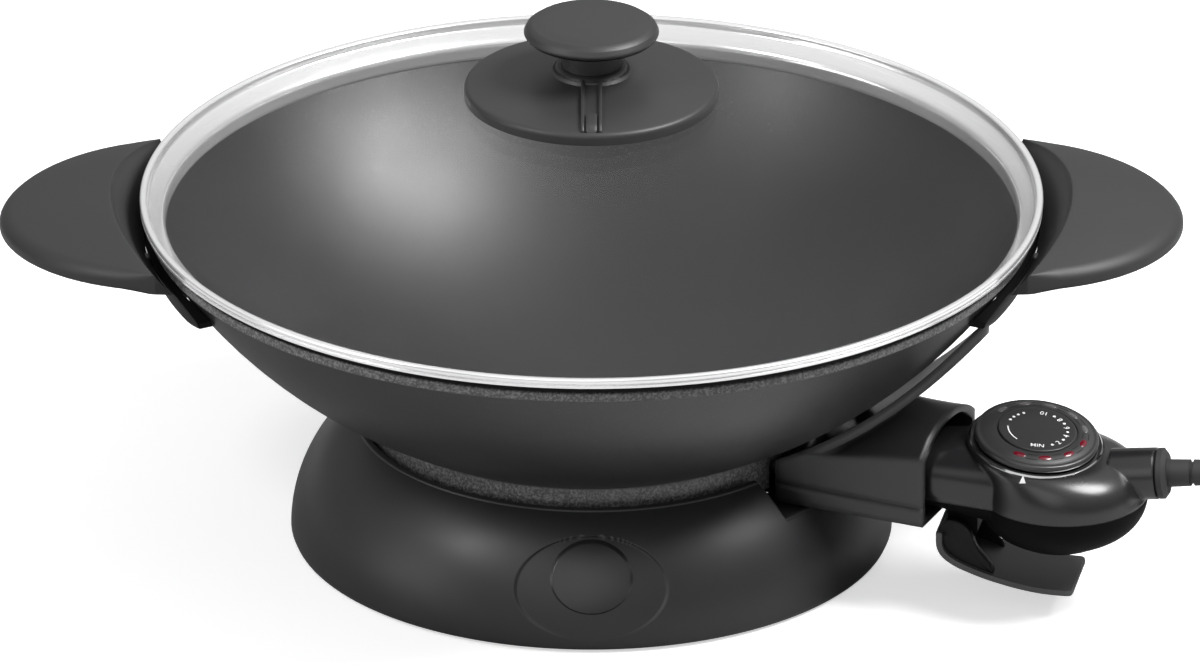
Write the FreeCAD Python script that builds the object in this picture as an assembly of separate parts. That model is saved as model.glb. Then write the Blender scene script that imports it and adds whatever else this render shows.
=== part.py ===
"""Electric wok: cast bowl on a flared base, lift-off glass lid, plug-in temperature probe.

Millimetres. Z is up and the bowl's axis. The origin lies on the table under the bowl's centre.
The carrying handles lie along X. The probe leaves the bowl towards +X and -Y.
"""
import FreeCAD, Part
import math
import os

V = FreeCAD.Vector
UP = V(0, 0, 1)

# ---- clearances and sheet thicknesses ----
REST_GAP = 0.3         # between pieces that rest on each other and lift off
RUN_GAP = 0.06         # radial running clearance of a shaft in its bore
SLIDE_GAP = 0.1        # radial clearance of the plug-in rod
AIR_GAP = 3.0          # cooling gap between the hot bowl and the plastic near it
SEAT_GAP = 0.05        # under a thin ring that is glued down
FAR = 500.0            # past everything, for the boxes that halve a piece

# ---- bowl ----
RIM_R = 176.5          # outer radius of the rim bead
RIM_Z = 139.0          # top of the rim
BEAD_H = 4.2           # height of the rim bead
BEAD_PROUD = 0.8       # how far the bead stands out of the wall
BOWL_DEPTH = 97.1      # from under the bead to the lowest point of the bowl's underside
BOWL_WALL = 3.5
FOOT_R = 90.0          # outer radius of the foot ring
FOOT_WALL = 4.5
FOOT_Z = 43.0          # underside of the foot ring

BALL_R = ((RIM_R - BEAD_PROUD) ** 2 + BOWL_DEPTH ** 2) / (2 * BOWL_DEPTH)
BALL_Z = RIM_Z - BEAD_H - BOWL_DEPTH + BALL_R
INNER_R = BALL_R - BOWL_WALL
MOUTH_R = math.sqrt(INNER_R ** 2 - (BALL_Z - RIM_Z + BEAD_H) ** 2)

# ---- heating element, terminals and sensor well ----
ELEMENT_R = 75.0       # radius of the element's loop
ELEMENT_TUBE_R = 3.6
ELEMENT_Z = 48.5       # height of the loop, the pins and the sensor rod
BOSS_HALF = 8.0        # half-width of the cast boss that holds the loop
BOSS_LIFT = 0.4        # the boss ends this far above the foot's underside
PIN_R = 2.4
PIN_PITCH = 24.0       # between the two terminal pins
PIN_START = 96.0       # distances from the bowl's axis along the probe
PIN_END = 118.5
BEAD_R = 5.0           # ceramic bead round each pin
BEAD_LENGTH = 6.0
WELL_END = 97.0
WELL_START = 79.0
WELL_HALF = 7.5
WELL_FLOOR = 2.0       # metal under the sensor bore
ROD_R = 4.0
ROD_TIP = 82.0
PLATE_T = 1.5          # terminal plate
PLATE_HALF = 22.5

# ---- probe guard ----
PROBE_AZ = -23.6       # direction of the guard and the sensor rod
GUARD_START = FOOT_R + 1.3
MOUTH_U = GUARD_START + 63.7    # the guard's open end
GUARD_HALF = 26.6
GUARD_LOW = 39.5
GUARD_WALL = 2.5
GUARD_SEAM = 47.5
GUARD_SIDE = 69.2      # height of the side walls at the mouth
GUARD_RISE = 8.7       # the walls are this much lower at the bowl's end
GUARD_CROWN = 78.0     # top of the arch at the mouth
SHIELD_T = 2.8         # tongue that follows the bowl above the guard
SHIELD_SHORT = 5.5     # the tongue's tip stays this far inside the rim
LIP_PROUD = 1.3        # bead round the tongue
LIP_W = 2.6
POST_U = GUARD_START + 14.2     # posts on the bowl that the guard screws into
POST_W = 20.5
POST_R = 3.8
EYE_WALL = 1.4

# ---- probe ----
GRIP_YAW = 13.0        # the probe's grip is turned this much towards the back
SEAM_Z = 48.3
SHELL_WALL = 2.5
NOSE_START = 112.0
NECK_START = 122.0
NECK_HALF = 21.0
NECK_LOW = 43.0
NECK_TOP = 68.0
NECK_ROUND = 11.0      # the neck's rounded edges
NOSE_TOP = 60.5        # the neck is lower where it starts under the guard's roof
NECK_JOIN = 26.0       # where the neck has merged into the round body
BULB_U = 45.8          # centre of the round body along the grip
BULB_R = 34.2
BULB_LOW = 27.5
STUB_R = 10.4
STUB_START = 66.0
STUB_END = 84.0
STUB_Z = 59.2
STUB_PITCH = 6.0
BUSH_LENGTH = 4.5
RELIEF_LENGTH = 35.0
RELIEF_R = 5.6

# ---- dial ----
DIAL_R = 25.0
DIAL_U = 35.0
DIAL_Z = 68.6          # height of the platform's centre
DIAL_LEAN = 10.4
DIAL_LEAN_AZ = -58.0
PLATFORM_R = 27.4
TRIM_T = 1.2
DIAL_H = 5.6
CAP_R = 15.6
CAP_T = 0.8
WINDOW_COUNT = 9
WINDOW_FIRST = -112.0
WINDOW_PITCH = 31.0
SHAFT_R = 3.0
SHAFT_LENGTH = 12.0

# ---- release lever ----
HINGE_U = 6.0
HINGE_Z = 34.0
HINGE_PIN_R = 1.5
CHEEK_R = 4.5
LEVER_HALF = 17.0
LEVER_T = 2.8
LEVER_CORNER = 3.0
CHEEK_OUT = 15.0       # outer face of the lever's ears
CHEEK_T = 4.0
PIN_COVER = 1.2        # plastic left over the pin's ends
SPRING_HALF = 3.5
LEVER_LINE = ((-1.0, 32.0), (-1.0, 27.0), (5.0, 21.6), (17.6, 16.1), (31.0, 12.9),
              (41.2, 11.5), (53.0, 11.4))

# ---- base ----
LIP_R = 93.0
LIP_Z = 51.0
SKIRT_R = 120.3
SKIRT_R_Z = 3.2        # height of the widest ring
SKIRT_MID_R = 113.4
SKIRT_MID_Z = 29.5
SKIRT_LOW = 1.2
BASE_WALL = 3.0
SHELF_T = 2.6
SHELF_IN = 84.5
RECESS_Z = 24.5        # centre of the oval badge recess
RECESS_HALF_W = 31.0
RECESS_HALF_H = 19.0
RECESS_DEPTH = 1.8     # at the upper edge; the floor comes out to the skirt below
BADGE_R = 16.5
BADGE_Z = 31.0
BADGE_T = 0.8
NOTCH_GAP = 9.0        # beside the guard in the base's upper edge
FOOT_PAD_R = 6.0
FOOT_PAD_AT = SKIRT_R - 10.3
COVER_R = SKIRT_R - 17.3
COVER_LOW = 14.0
COVER_T = 2.5
COVER_POST_R = 5.5
COVER_POST_AT = 86.0

# ---- base lock ----
LOCK_SHAFT_R = 5.0
LOCK_EAR_HALF = 16.0
LOCK_EAR_W = 4.5
LOCK_EAR_T = 3.0
LOCK_KNOB_R = 21.0
CATCH_R = 24.0
CATCH_T = 2.2
BOWL_BOSS_R = 32.0
BOWL_BOSS_H = 4.7      # boss under the bowl that the catch is screwed to
BOWL_BOSS_Z = RIM_Z - BEAD_H - BOWL_DEPTH - BOWL_BOSS_H

# ---- handles ----
HANDLE_AT = RIM_R - 11.5
HANDLE_REACH = 70.7
HANDLE_HALF = 67.6
HANDLE_T = 8.0
HANDLE_EDGE = 3.4
HANDLE_BALL_R = 241.0  # the paddle's top is a shallow dome
HANDLE_BALL_AT = HANDLE_AT - 4.2
HANDLE_CROWN = RIM_Z + 11.2
CRESCENT_R = 130.6     # the paddle's inner edge, rounder than the rim
CRESCENT_REACH = 14.8  # how far that edge lies outside the rim
LEDGE_R = RIM_R + 1.8  # foot of the slope inside the crescent
LEDGE_Z = RIM_Z - 8.0
SADDLE_LOW = RIM_Z - 18.5
SADDLE_R = RIM_R + 4.0
SADDLE_SPAN = 57.0     # degrees that the saddle goes round the bowl
SADDLE_MID = SADDLE_LOW + 5.5
SADDLE_HIGH = 10.0     # half-height of the saddle's ellipse, before its foot is cut
LUG_AT = RIM_R + 0.8
LUG_Y = 30.0
LUG_HALF = 4.2
LUG_LOW = SADDLE_LOW + 2.0
LUG_SKIN = 2.6         # plastic round the lug
HEAD_R = 2.6           # handle screws
HEAD_H = 1.9

# ---- lid ----
LID_R = RIM_R + 3.5
LID_TOP = RIM_Z + 7.4
SKIRT_Z = RIM_Z + 2.0  # bottom of the lid's steel skirt
STEEL_T = 0.8
FLANGE_R = MOUTH_R - 0.45
FLANGE_TAPER = 1.6
FLANGE_LOW = RIM_Z - 6.5
DOME_RISE = 46.7       # of the glass over its edge
GLASS_T = 4.0
GLASS_EDGE_R = LID_R - 2 * STEEL_T
HUB_HOLE_R = 4.5
STEAM_HOLE_R = 3.0
STEAM_HOLE_AT = 30.0
STEAM_HOLES = 4
APEX_Z = LID_TOP - 0.5 + DOME_RISE
DOME_R = (GLASS_EDGE_R ** 2 + DOME_RISE ** 2) / (2 * DOME_RISE)
DOME_Z = APEX_Z - DOME_R

# ---- vent disc and knob ----
DISC_R = 50.7
DISC_EDGE = 5.0
DISC_WALL = 2.2
HUB_R = 14.5
SPIGOT_R = 9.0
NECK_R = 11.8
HUB_RISE = 9.8         # top of the disc's hub over the glass
NECK_SHOWS = 6.2       # neck between the hub and the knob's cup
CUP_H = 7.8
CROWN_H = 5.6
KNOB_R = 27.0
KNOB_SHOULDER = 4.2
NECK_Z = APEX_Z + HUB_RISE
KNOB_LOW = NECK_Z + NECK_SHOWS
KNOB_WIDE_Z = KNOB_LOW + CUP_H
KNOB_TOP = KNOB_WIDE_Z + CROWN_H
RIDGE_HALF = 4.2
RIDGE_WALL = 1.3
NUB_HALF = 2.3
SHUTTER_T = 1.2
SHUTTER_OUT = DISC_R - 8.7
SHUTTER_IN = 16.0
KNOB_SCREW_R = 2.5
WASHER_R = 9.0
WASHER_T = 2.0

# ---- cord ----
CORD_R = 4.0
CORD_LEAD = 50.0       # first straight run, in line with the strain relief
CORD_ROUTE = ((347.0, -84.0, 22.0), (361.0, -44.0, 4.0), (361.0, 18.0, 4.0))
COIL_X = 312.0
COIL_Y = 20.0
COIL_MEAN_R = 45.0
TAIL_ROUTE = ((357.0, 22.0, 12.0), (357.0, 46.0, 12.0), (357.0, 72.0, 18.8), (357.0, 96.0, 18.8))
TIE_W = 14.0
TIE_T = 1.2
TIE_ANGLE = 160.0
PLUG_R = 18.8
PLUG_BODY = 26.0
PLUG_TAPER = 20.0
PLUG_PIN_R = 2.4
PLUG_PIN_PITCH = 19.0
PLUG_PIN_LENGTH = 19.0


# ---------- helpers ----------
def box(x0, x1, y0, y1, z0, z1):
    return Part.makeBox(x1 - x0, y1 - y0, z1 - z0, V(x0, y0, z0))


def cylinder(radius, start, end):
    """Cylinder between two points."""
    return Part.makeCylinder(radius, (end - start).Length, start, end - start)


def ball(radius):
    """Ball round the bowl's own centre."""
    return Part.makeSphere(radius, V(0, 0, BALL_Z))


def dome_ball(radius):
    """Ball round the glass dome's centre."""
    return Part.makeSphere(radius, V(0, 0, DOME_Z))


def line(a, b):
    return Part.makeLine(a, b)


def arc(a, b, c):
    return Part.Arc(a, b, c).toShape()


def rz(radius, height):
    """Point of a turned profile."""
    return V(radius, 0, height)


def lathe(*parts, angle=360.0):
    """Turn a closed profile round Z. Parts are points, or ready edges between points."""
    edges = []
    last = None
    for part in parts + (parts[0],):
        if isinstance(part, Part.Shape):
            start, end = part.firstVertex(True).Point, part.lastVertex(True).Point
        else:
            start = end = part
        if last is not None and (start - last).Length > 1e-6:
            edges.append(line(last, start))
        if isinstance(part, Part.Shape):
            if edges and part.isSame(edges[0]):
                break
            edges.append(part)
        last = end
    return Part.Face(Part.Wire(edges)).revolve(V(0, 0, 0), UP, angle)


def prism(points, direction):
    """Push a closed outline of points along a direction."""
    return Part.Face(Part.makePolygon(list(points) + [points[0]])).extrude(direction)


def fuse(shapes):
    return shapes[0].multiFuse(shapes[1:]).removeSplitter()


def placed(shape, placement):
    copy = shape.copy()
    copy.Placement = placement.multiply(copy.Placement)
    return copy


def turned(shape, degrees):
    """Copy turned round the bowl's axis."""
    return placed(shape, FreeCAD.Placement(V(0, 0, 0), FreeCAD.Rotation(UP, degrees)))


def ring_of(shape, count, first=0.0):
    return [turned(shape, first + 360.0 * i / count) for i in range(count)]


def rounded_slab(x0, x1, y0, y1, z0, z1, radius):
    """Box whose upright edges are rounded."""
    slab = box(x0, x1, y0, y1, z0, z1)
    upright = [e for e in slab.Edges if abs(e.tangentAt(e.FirstParameter).z) > 0.9]
    return slab.makeFillet(radius, upright)


# frames: the guard's X runs out along the sensor rod, the grip's X along the probe's grip
GUARD = FreeCAD.Placement(V(0, 0, 0), FreeCAD.Rotation(UP, PROBE_AZ))
GRIP = FreeCAD.Placement(GUARD.multVec(V(MOUTH_U, 0, 0)), FreeCAD.Rotation(UP, PROBE_AZ + GRIP_YAW))
LEAN_TO = V(math.cos(math.radians(DIAL_LEAN_AZ)), math.sin(math.radians(DIAL_LEAN_AZ)), 0)
DIAL = FreeCAD.Placement(GRIP.multVec(V(DIAL_U, 0, DIAL_Z)),
                         FreeCAD.Rotation(UP.cross(LEAN_TO), DIAL_LEAN))
STUB_TURN = FreeCAD.Rotation(V(0, 1, 0), 90.0 - STUB_PITCH)
STUB = GRIP.multiply(FreeCAD.Placement(V(STUB_END, 0, STUB_Z), STUB_TURN))


# ---------- base ----------
def skirt_solid(inset, low):
    """Bell of the base, drawn in by inset, from the table side up to the lip."""
    top = LIP_Z - inset
    side = arc(rz(LIP_R - inset * 0.75, top), rz(SKIRT_MID_R - inset, SKIRT_MID_Z - inset * 0.45),
               rz(SKIRT_R - inset, SKIRT_R_Z))
    return lathe(rz(0, top), side, rz(SKIRT_R - inset - 1.2, low), rz(0, low))


def skirt_radius(z):
    """Outer radius of the skirt at a height, on the arc through its three given rings."""
    (x0, y0), (x1, y1), (x2, y2) = ((LIP_R, LIP_Z), (SKIRT_MID_R, SKIRT_MID_Z), (SKIRT_R, SKIRT_R_Z))
    a = (x0 ** 2 + y0 ** 2 - x1 ** 2 - y1 ** 2) / 2
    b = (x1 ** 2 + y1 ** 2 - x2 ** 2 - y2 ** 2) / 2
    cross = (x0 - x1) * (y1 - y2) - (x1 - x2) * (y0 - y1)
    centre_r = (a * (y1 - y2) - b * (y0 - y1)) / cross
    centre_z = (b * (x0 - x1) - a * (x1 - x2)) / cross
    radius = math.hypot(x0 - centre_r, y0 - centre_z)
    side = 1 if x1 > centre_r else -1
    return centre_r + side * math.sqrt(radius ** 2 - (z - centre_z) ** 2)


def guard_notch():
    """Room for the guard through the base's upper edge and foot."""
    return placed(box(GUARD_START - 14, GUARD_START + 40, -GUARD_HALF - NOTCH_GAP, GUARD_HALF + NOTCH_GAP,
                      GUARD_LOW - REST_GAP * 4, LIP_Z + 20), GUARD)


def facing(shape):
    """Turn a piece drawn along +X at azimuth 0 to the front, -Y."""
    return turned(shape, -90.0)


def oval_prism(half_width, half_height, height):
    """Elliptic prism along X at a height, longer across than up."""
    outline = Part.Ellipse(V(0, 0, 0), half_width, half_height).toShape()
    face = Part.Face(Part.Wire([outline]))
    face.rotate(V(0, 0, 0), V(0, 0, 1), 90)
    face.rotate(V(0, 0, 0), V(0, 1, 0), 90)
    face.translate(V(LIP_R - 10, 0, height))
    return face.extrude(V(60, 0, 0))


def recess_floor(sink):
    """Bell that lies inside the skirt at the recess's upper edge and meets it below."""
    high, low = RECESS_Z + RECESS_HALF_H, RECESS_Z - RECESS_HALF_H
    return lathe(rz(0, high + 3), rz(skirt_radius(high + 3) - RECESS_DEPTH - sink, high + 3),
                 arc(rz(skirt_radius(high) - RECESS_DEPTH - sink, high),
                     rz(skirt_radius(RECESS_Z) - RECESS_DEPTH * 0.42 - sink, RECESS_Z),
                     rz(skirt_radius(low) + 0.02 - sink, low)),
                 rz(skirt_radius(low - 3) + 0.4 - sink, low - 3), rz(0, low - 3))


def base_shell():
    shelf_top = FOOT_Z - REST_GAP
    bell = skirt_solid(0, SKIRT_LOW)
    hollow = skirt_solid(BASE_WALL, SKIRT_LOW - 1)
    throat_r = FOOT_R + 1.2
    throat = cylinder(throat_r, V(0, 0, SKIRT_LOW), V(0, 0, LIP_Z + 1))
    shelf = lathe(rz(SHELF_IN, shelf_top - SHELF_T), rz(throat_r + BASE_WALL, shelf_top - SHELF_T),
                  rz(throat_r + BASE_WALL, LIP_Z - 1.5), rz(throat_r, LIP_Z - 1.5),
                  rz(throat_r, shelf_top), rz(SHELF_IN, shelf_top))
    posts = [cylinder(COVER_POST_R, V(COVER_POST_AT, 0, COVER_LOW + COVER_T),
                      V(COVER_POST_AT, 0, shelf_top - SHELF_T + 0.5))]
    posts = [p for post in posts for p in ring_of(post, 4, 45)]
    pad_boss = cylinder(FOOT_PAD_R + 1.5, V(FOOT_PAD_AT, 0, SKIRT_LOW), V(FOOT_PAD_AT, 0, 12))
    bosses = [b.common(bell) for b in ring_of(pad_boss, 4, 45)]
    step = lathe(rz(LIP_R + 2.6, LIP_Z + 1), rz(LIP_R + 2.6, LIP_Z - 2.2),
                 rz(LIP_R + 9, LIP_Z - 6.2), rz(LIP_R + 9, LIP_Z + 1))
    shell = bell.cut(hollow).cut(throat)
    shell = fuse([shell, shelf] + posts + bosses)
    oval = facing(oval_prism(RECESS_HALF_W, RECESS_HALF_H, RECESS_Z))
    recess = oval.common(bell).cut(recess_floor(0))
    foot_hole = cylinder(FOOT_PAD_R - 2.5, V(FOOT_PAD_AT, 0, 0), V(FOOT_PAD_AT, 0, 6))
    screw_hole = cylinder(1.5, V(COVER_POST_AT, 0, 0), V(COVER_POST_AT, 0, shelf_top - 12))
    shell = shell.cut(Part.makeCompound([recess, guard_notch()]
                                        + ring_of(foot_hole, 4, 45) + ring_of(screw_hole, 4, 45)))
    return shell.cut(step.cut(skirt_solid(1.0, SKIRT_LOW)))


def badge_disc(shell):
    """Plain disc that follows the recess's floor."""
    disc = facing(oval_prism(BADGE_R, BADGE_R * 0.78, BADGE_Z - 2))
    return disc.common(recess_floor(-BADGE_T)).cut(recess_floor(0)).cut(shell)


def base_feet():
    foot = lathe(rz(0, 0), rz(FOOT_PAD_R - 0.8, 0), rz(FOOT_PAD_R, 0.6), rz(FOOT_PAD_R, SKIRT_LOW),
                 rz(FOOT_PAD_R - 2.5, SKIRT_LOW), rz(FOOT_PAD_R - 2.5, 6), rz(0, 6))
    foot.translate(V(FOOT_PAD_AT, 0, 0))
    return Part.makeCompound(ring_of(foot, 4, 45))


def base_cover():
    """Cover plate under the base, with the lock knob's bearing hub."""
    plate = lathe(rz(LOCK_SHAFT_R + RUN_GAP, COVER_LOW - 2), rz(12, COVER_LOW - 2), rz(12, COVER_LOW),
                  rz(COVER_R, COVER_LOW), rz(COVER_R, COVER_LOW + COVER_T), rz(12, COVER_LOW + COVER_T),
                  rz(12, COVER_LOW + 8), rz(LOCK_SHAFT_R + RUN_GAP, COVER_LOW + 8))
    rib = box(11, COVER_R - 12, -1.2, 1.2, COVER_LOW + COVER_T - 0.5, COVER_LOW + 7)
    hole = cylinder(1.6, V(COVER_POST_AT, 0, 0), V(COVER_POST_AT, 0, 30))
    slot = box(-3, 3, 70, 74, COVER_LOW - 1, COVER_LOW + 9)
    slots = [s for base in (slot, slot.translated(V(0, -14, 0))) for s in ring_of(base, 8)]
    plate = fuse([plate] + ring_of(rib, 8, 22.5))
    return plate.cut(Part.makeCompound(ring_of(hole, 4, 45) + slots))


def cover_screws():
    screw = fuse([cylinder(3.0, V(0, 0, COVER_LOW - 1.8), V(0, 0, COVER_LOW)),
                  cylinder(1.5, V(0, 0, COVER_LOW - 0.5), V(0, 0, COVER_LOW + 14))])
    screw.translate(V(COVER_POST_AT, 0, 0))
    return Part.makeCompound(ring_of(screw, 4, 45))


# ---------- base lock ----------
CATCH_FLOOR = BOWL_BOSS_Z - 9.0      # underside of the catch's flange


def lock_hook():
    """Shaft through the cover's hub with two ears that turn over the catch."""
    ear_low = CATCH_FLOOR + CATCH_T + REST_GAP * 2
    shaft = cylinder(LOCK_SHAFT_R, V(0, 0, COVER_LOW - 5), V(0, 0, ear_low + LOCK_EAR_T))
    ears = rounded_slab(-LOCK_EAR_HALF, LOCK_EAR_HALF, -LOCK_EAR_W, LOCK_EAR_W,
                        ear_low, ear_low + LOCK_EAR_T, 3.0)
    return fuse([shaft, ears])


def lock_knob():
    """Turning knob under the cover, gripped by its bar."""
    top = COVER_LOW - 2 - REST_GAP
    disc = lathe(rz(0, top - 4), rz(LOCK_KNOB_R - 1, top - 4), rz(LOCK_KNOB_R, top - 3),
                 rz(LOCK_KNOB_R, top), rz(0, top))
    bar = rounded_slab(-LOCK_KNOB_R + 3, LOCK_KNOB_R - 3, -3.2, 3.2, 3.2, top - 3.5, 2.5)
    socket = cylinder(LOCK_SHAFT_R, V(0, 0, COVER_LOW - 5), V(0, 0, COVER_LOW + 5))
    return fuse([disc, bar]).cut(socket)


def lock_catch():
    """Cup screwed under the bowl. Its flange lets the hook's ears through one way only."""
    cup = lathe(rz(7.5, CATCH_FLOOR), rz(CATCH_R, CATCH_FLOOR), rz(CATCH_R, BOWL_BOSS_Z),
                rz(CATCH_R - CATCH_T, BOWL_BOSS_Z), rz(CATCH_R - CATCH_T, CATCH_FLOOR + CATCH_T),
                rz(7.5, CATCH_FLOOR + CATCH_T))
    slot = box(-LOCK_EAR_HALF - 1.5, LOCK_EAR_HALF + 1.5, -LOCK_EAR_W - 1, LOCK_EAR_W + 1,
               CATCH_FLOOR - 1, CATCH_FLOOR + CATCH_T + 0.1)
    tab = rounded_slab(-4.5, 4.5, CATCH_R - 1, CATCH_R + 8, BOWL_BOSS_Z - CATCH_T, BOWL_BOSS_Z, 3)
    tabs = [turned(tab, 180.0 * i) for i in range(2)]
    hole = cylinder(1.6, V(0, CATCH_R + 4, 0), V(0, CATCH_R + 4, 40))
    return fuse([cup] + tabs).cut(Part.makeCompound([slot, hole, turned(hole, 180)]))


def catch_screws():
    low = BOWL_BOSS_Z - CATCH_T
    screw = fuse([cylinder(2.8, V(0, CATCH_R + 4, low - 1.6), V(0, CATCH_R + 4, low)),
                  cylinder(1.5, V(0, CATCH_R + 4, low - 0.5), V(0, CATCH_R + 4, low + 6))])
    return Part.makeCompound([screw, turned(screw, 180)])


# ---------- bowl ----------
def element_solid():
    """Loop with two straight legs, as one bent tube."""
    leg_w = PIN_PITCH / 2
    gap = math.degrees(math.asin(leg_w / ELEMENT_R))
    ring = Part.makeCircle(ELEMENT_TUBE_R, V(ELEMENT_R, 0, ELEMENT_Z), V(0, 1, 0))
    loop = Part.Face(Part.Wire([ring])).revolve(V(0, 0, 0), UP, 360 - 2 * gap)
    loop = turned(loop, gap)
    pieces = [loop]
    for side in (-1, 1):
        start = V(ELEMENT_R * math.cos(math.radians(gap)), side * leg_w, ELEMENT_Z)
        pieces.append(Part.makeSphere(ELEMENT_TUBE_R, start))
        pieces.append(cylinder(ELEMENT_TUBE_R, start, V(PIN_START, side * leg_w, ELEMENT_Z)))
    return placed(fuse(pieces), GUARD)


def lug(clear=0.0):
    """Cast lug beside the bowl that a handle screw enters, drawn on the +X side."""
    lugs = []
    for side in (-1, 1):
        y = side * LUG_Y
        lugs.append(cylinder(LUG_HALF + clear, V(LUG_AT, y, LUG_LOW - clear), V(LUG_AT, y, LEDGE_Z - 2.5)))
        lugs.append(box(LUG_AT - 30, LUG_AT, y - LUG_HALF - clear, y + LUG_HALF + clear,
                        LUG_LOW - clear, LEDGE_Z - 2.5))
    return fuse(lugs)


def wok_bowl():
    bead_low = RIM_Z - BEAD_H
    wall_r = RIM_R - BEAD_PROUD
    below_bead = cylinder(BALL_R, V(0, 0, 0), V(0, 0, bead_low))
    bead = lathe(rz(wall_r - 12, bead_low - 1), rz(wall_r - 1.2, bead_low - 1), rz(wall_r, bead_low),
                 rz(RIM_R, bead_low + 0.6), rz(RIM_R, RIM_Z - 0.6), rz(RIM_R - 0.6, RIM_Z),
                 rz(wall_r - 12, RIM_Z))
    hollow = lathe(rz(0, bead_low - 1), rz(MOUTH_R - 0.9, bead_low - 1), rz(MOUTH_R, bead_low),
                   rz(MOUTH_R, RIM_Z - 0.5), rz(MOUTH_R + 0.5, RIM_Z), rz(MOUTH_R + 0.5, RIM_Z + 1),
                   rz(0, RIM_Z + 1))
    bowl = ball(BALL_R).common(below_bead).fuse(bead)
    bowl = bowl.cut(hollow).cut(ball(INNER_R).common(below_bead)).removeSplitter()
    reach = ball(BALL_R - BOWL_WALL / 2)
    foot = lathe(rz(FOOT_R - FOOT_WALL, FOOT_Z), rz(FOOT_R, FOOT_Z), rz(FOOT_R, 70),
                 rz(FOOT_R - FOOT_WALL, 70))
    boss = lathe(rz(ELEMENT_R - BOSS_HALF, FOOT_Z + BOSS_LIFT),
                 rz(ELEMENT_R + BOSS_HALF, FOOT_Z + BOSS_LIFT),
                 rz(ELEMENT_R + BOSS_HALF, 70), rz(ELEMENT_R - BOSS_HALF, 70))
    well_low = ELEMENT_Z - ROD_R - SLIDE_GAP - WELL_FLOOR
    well = placed(box(WELL_START, WELL_END, -WELL_HALF, WELL_HALF, well_low, 80), GUARD)
    posts = [placed(cylinder(POST_R, V(POST_U, side * POST_W, GUARD_SEAM + 0.5),
                             V(POST_U, side * POST_W, 90)), GUARD) for side in (-1, 1)]
    centre = cylinder(BOWL_BOSS_R, V(0, 0, BOWL_BOSS_Z), V(0, 0, 60))
    lugs = [lug(), turned(lug(), 180)]
    extra = fuse([foot, boss, well, centre] + posts + lugs).cut(reach)
    bowl = fuse([bowl, extra])
    window = placed(box(80, 96, -GUARD_HALF + 4, GUARD_HALF - 4, FOOT_Z - 1, 54), GUARD).cut(well)
    window = window.cut(lathe(rz(0, 0), rz(FOOT_R - FOOT_WALL - 0.5, 0), rz(FOOT_R - FOOT_WALL - 0.5, 60),
                              rz(0, 60)))
    bore = placed(cylinder(ROD_R + SLIDE_GAP, V(ROD_TIP - 0.5, 0, ELEMENT_Z),
                           V(WELL_END + 1, 0, ELEMENT_Z)), GUARD)
    screw_holes = [placed(cylinder(1.6, V(POST_U, side * POST_W, 40),
                                   V(POST_U, side * POST_W, 58)), GUARD) for side in (-1, 1)]
    catch_hole = cylinder(1.5, V(0, CATCH_R + 4, 20), V(0, CATCH_R + 4, BOWL_BOSS_Z + 4))
    handle_holes = [turned(cylinder(1.6, V(LUG_AT, side * LUG_Y, LUG_LOW + 1.5),
                                    V(LUG_AT, side * LUG_Y, LEDGE_Z)), turn)
                    for side in (-1, 1) for turn in (0, 180)]
    return bowl.cut(Part.makeCompound([window, bore, catch_hole, turned(catch_hole, 180)]
                                      + screw_holes + handle_holes)).cut(element_solid())


def terminal_pins():
    pins = [cylinder(PIN_R, V(PIN_START, side * PIN_PITCH / 2, ELEMENT_Z),
                     V(PIN_END, side * PIN_PITCH / 2, ELEMENT_Z)) for side in (-1, 1)]
    return placed(Part.makeCompound(pins), GUARD)


def terminal_beads():
    beads = []
    for side in (-1, 1):
        start = V(PIN_START, side * PIN_PITCH / 2, ELEMENT_Z)
        end = start + V(BEAD_LENGTH, 0, 0)
        beads.append(cylinder(BEAD_R - 0.8, start, end).cut(cylinder(PIN_R, start, end)))
    return placed(Part.makeCompound(beads), GUARD)


def terminal_plate():
    plate = box(WELL_END, WELL_END + PLATE_T, -PLATE_HALF, PLATE_HALF, GUARD_LOW + GUARD_WALL + 0.5, 56)
    holes = [cylinder(radius, V(80, w, ELEMENT_Z), V(110, w, ELEMENT_Z))
             for radius, w in ((BEAD_R - 0.8, -PIN_PITCH / 2), (BEAD_R - 0.8, PIN_PITCH / 2),
                               (ROD_R + 0.6, 0))]
    return placed(plate.cut(Part.makeCompound(holes)), GUARD)


# ---------- probe guard ----------
def guard_section(u, half, low, side, crown, saddle):
    """Wire across the guard: flat floor, upright walls and a roof that turns from a plain
    arch (saddle 0) to a bell with hollow flanks (saddle 1)."""
    count = 8
    roof = []
    for i in range(count + 1):
        t = 1 - 2.0 * i / count
        lift = (1 - saddle) * (1 - abs(t) ** 2.6) + saddle * (1 + math.cos(math.pi * t)) / 2
        roof.append(V(u, half * t, side + (crown - side) * lift))
    curve = Part.BSplineCurve()
    curve.interpolate(roof)
    return Part.Wire([line(V(u, -half, low), V(u, half, low)), line(V(u, half, low), roof[0]),
                      curve.toShape(), line(roof[-1], V(u, -half, low))])


def guard_form(inset, start, end):
    """Tunnel from start to end. Its side walls rise towards the mouth and its roof is an
    arch that turns up to the tongue behind it."""
    stations = ((0.0, 12.0, 1.0), (0.5, 9.0, 0.7), (0.66, 3.0, 0.25), (0.82, 0.3, 0.0), (1.0, 0.0, 0.0))
    wires = []
    for share, lift, saddle in stations:
        u = start + (end - start) * share
        side = GUARD_SIDE - GUARD_RISE * (1 - share)
        wires.append(guard_section(u, GUARD_HALF - inset, GUARD_LOW + inset, side - inset,
                                   GUARD_CROWN + lift - inset, saddle))
    return Part.makeLoft(wires, True, False)


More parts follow.
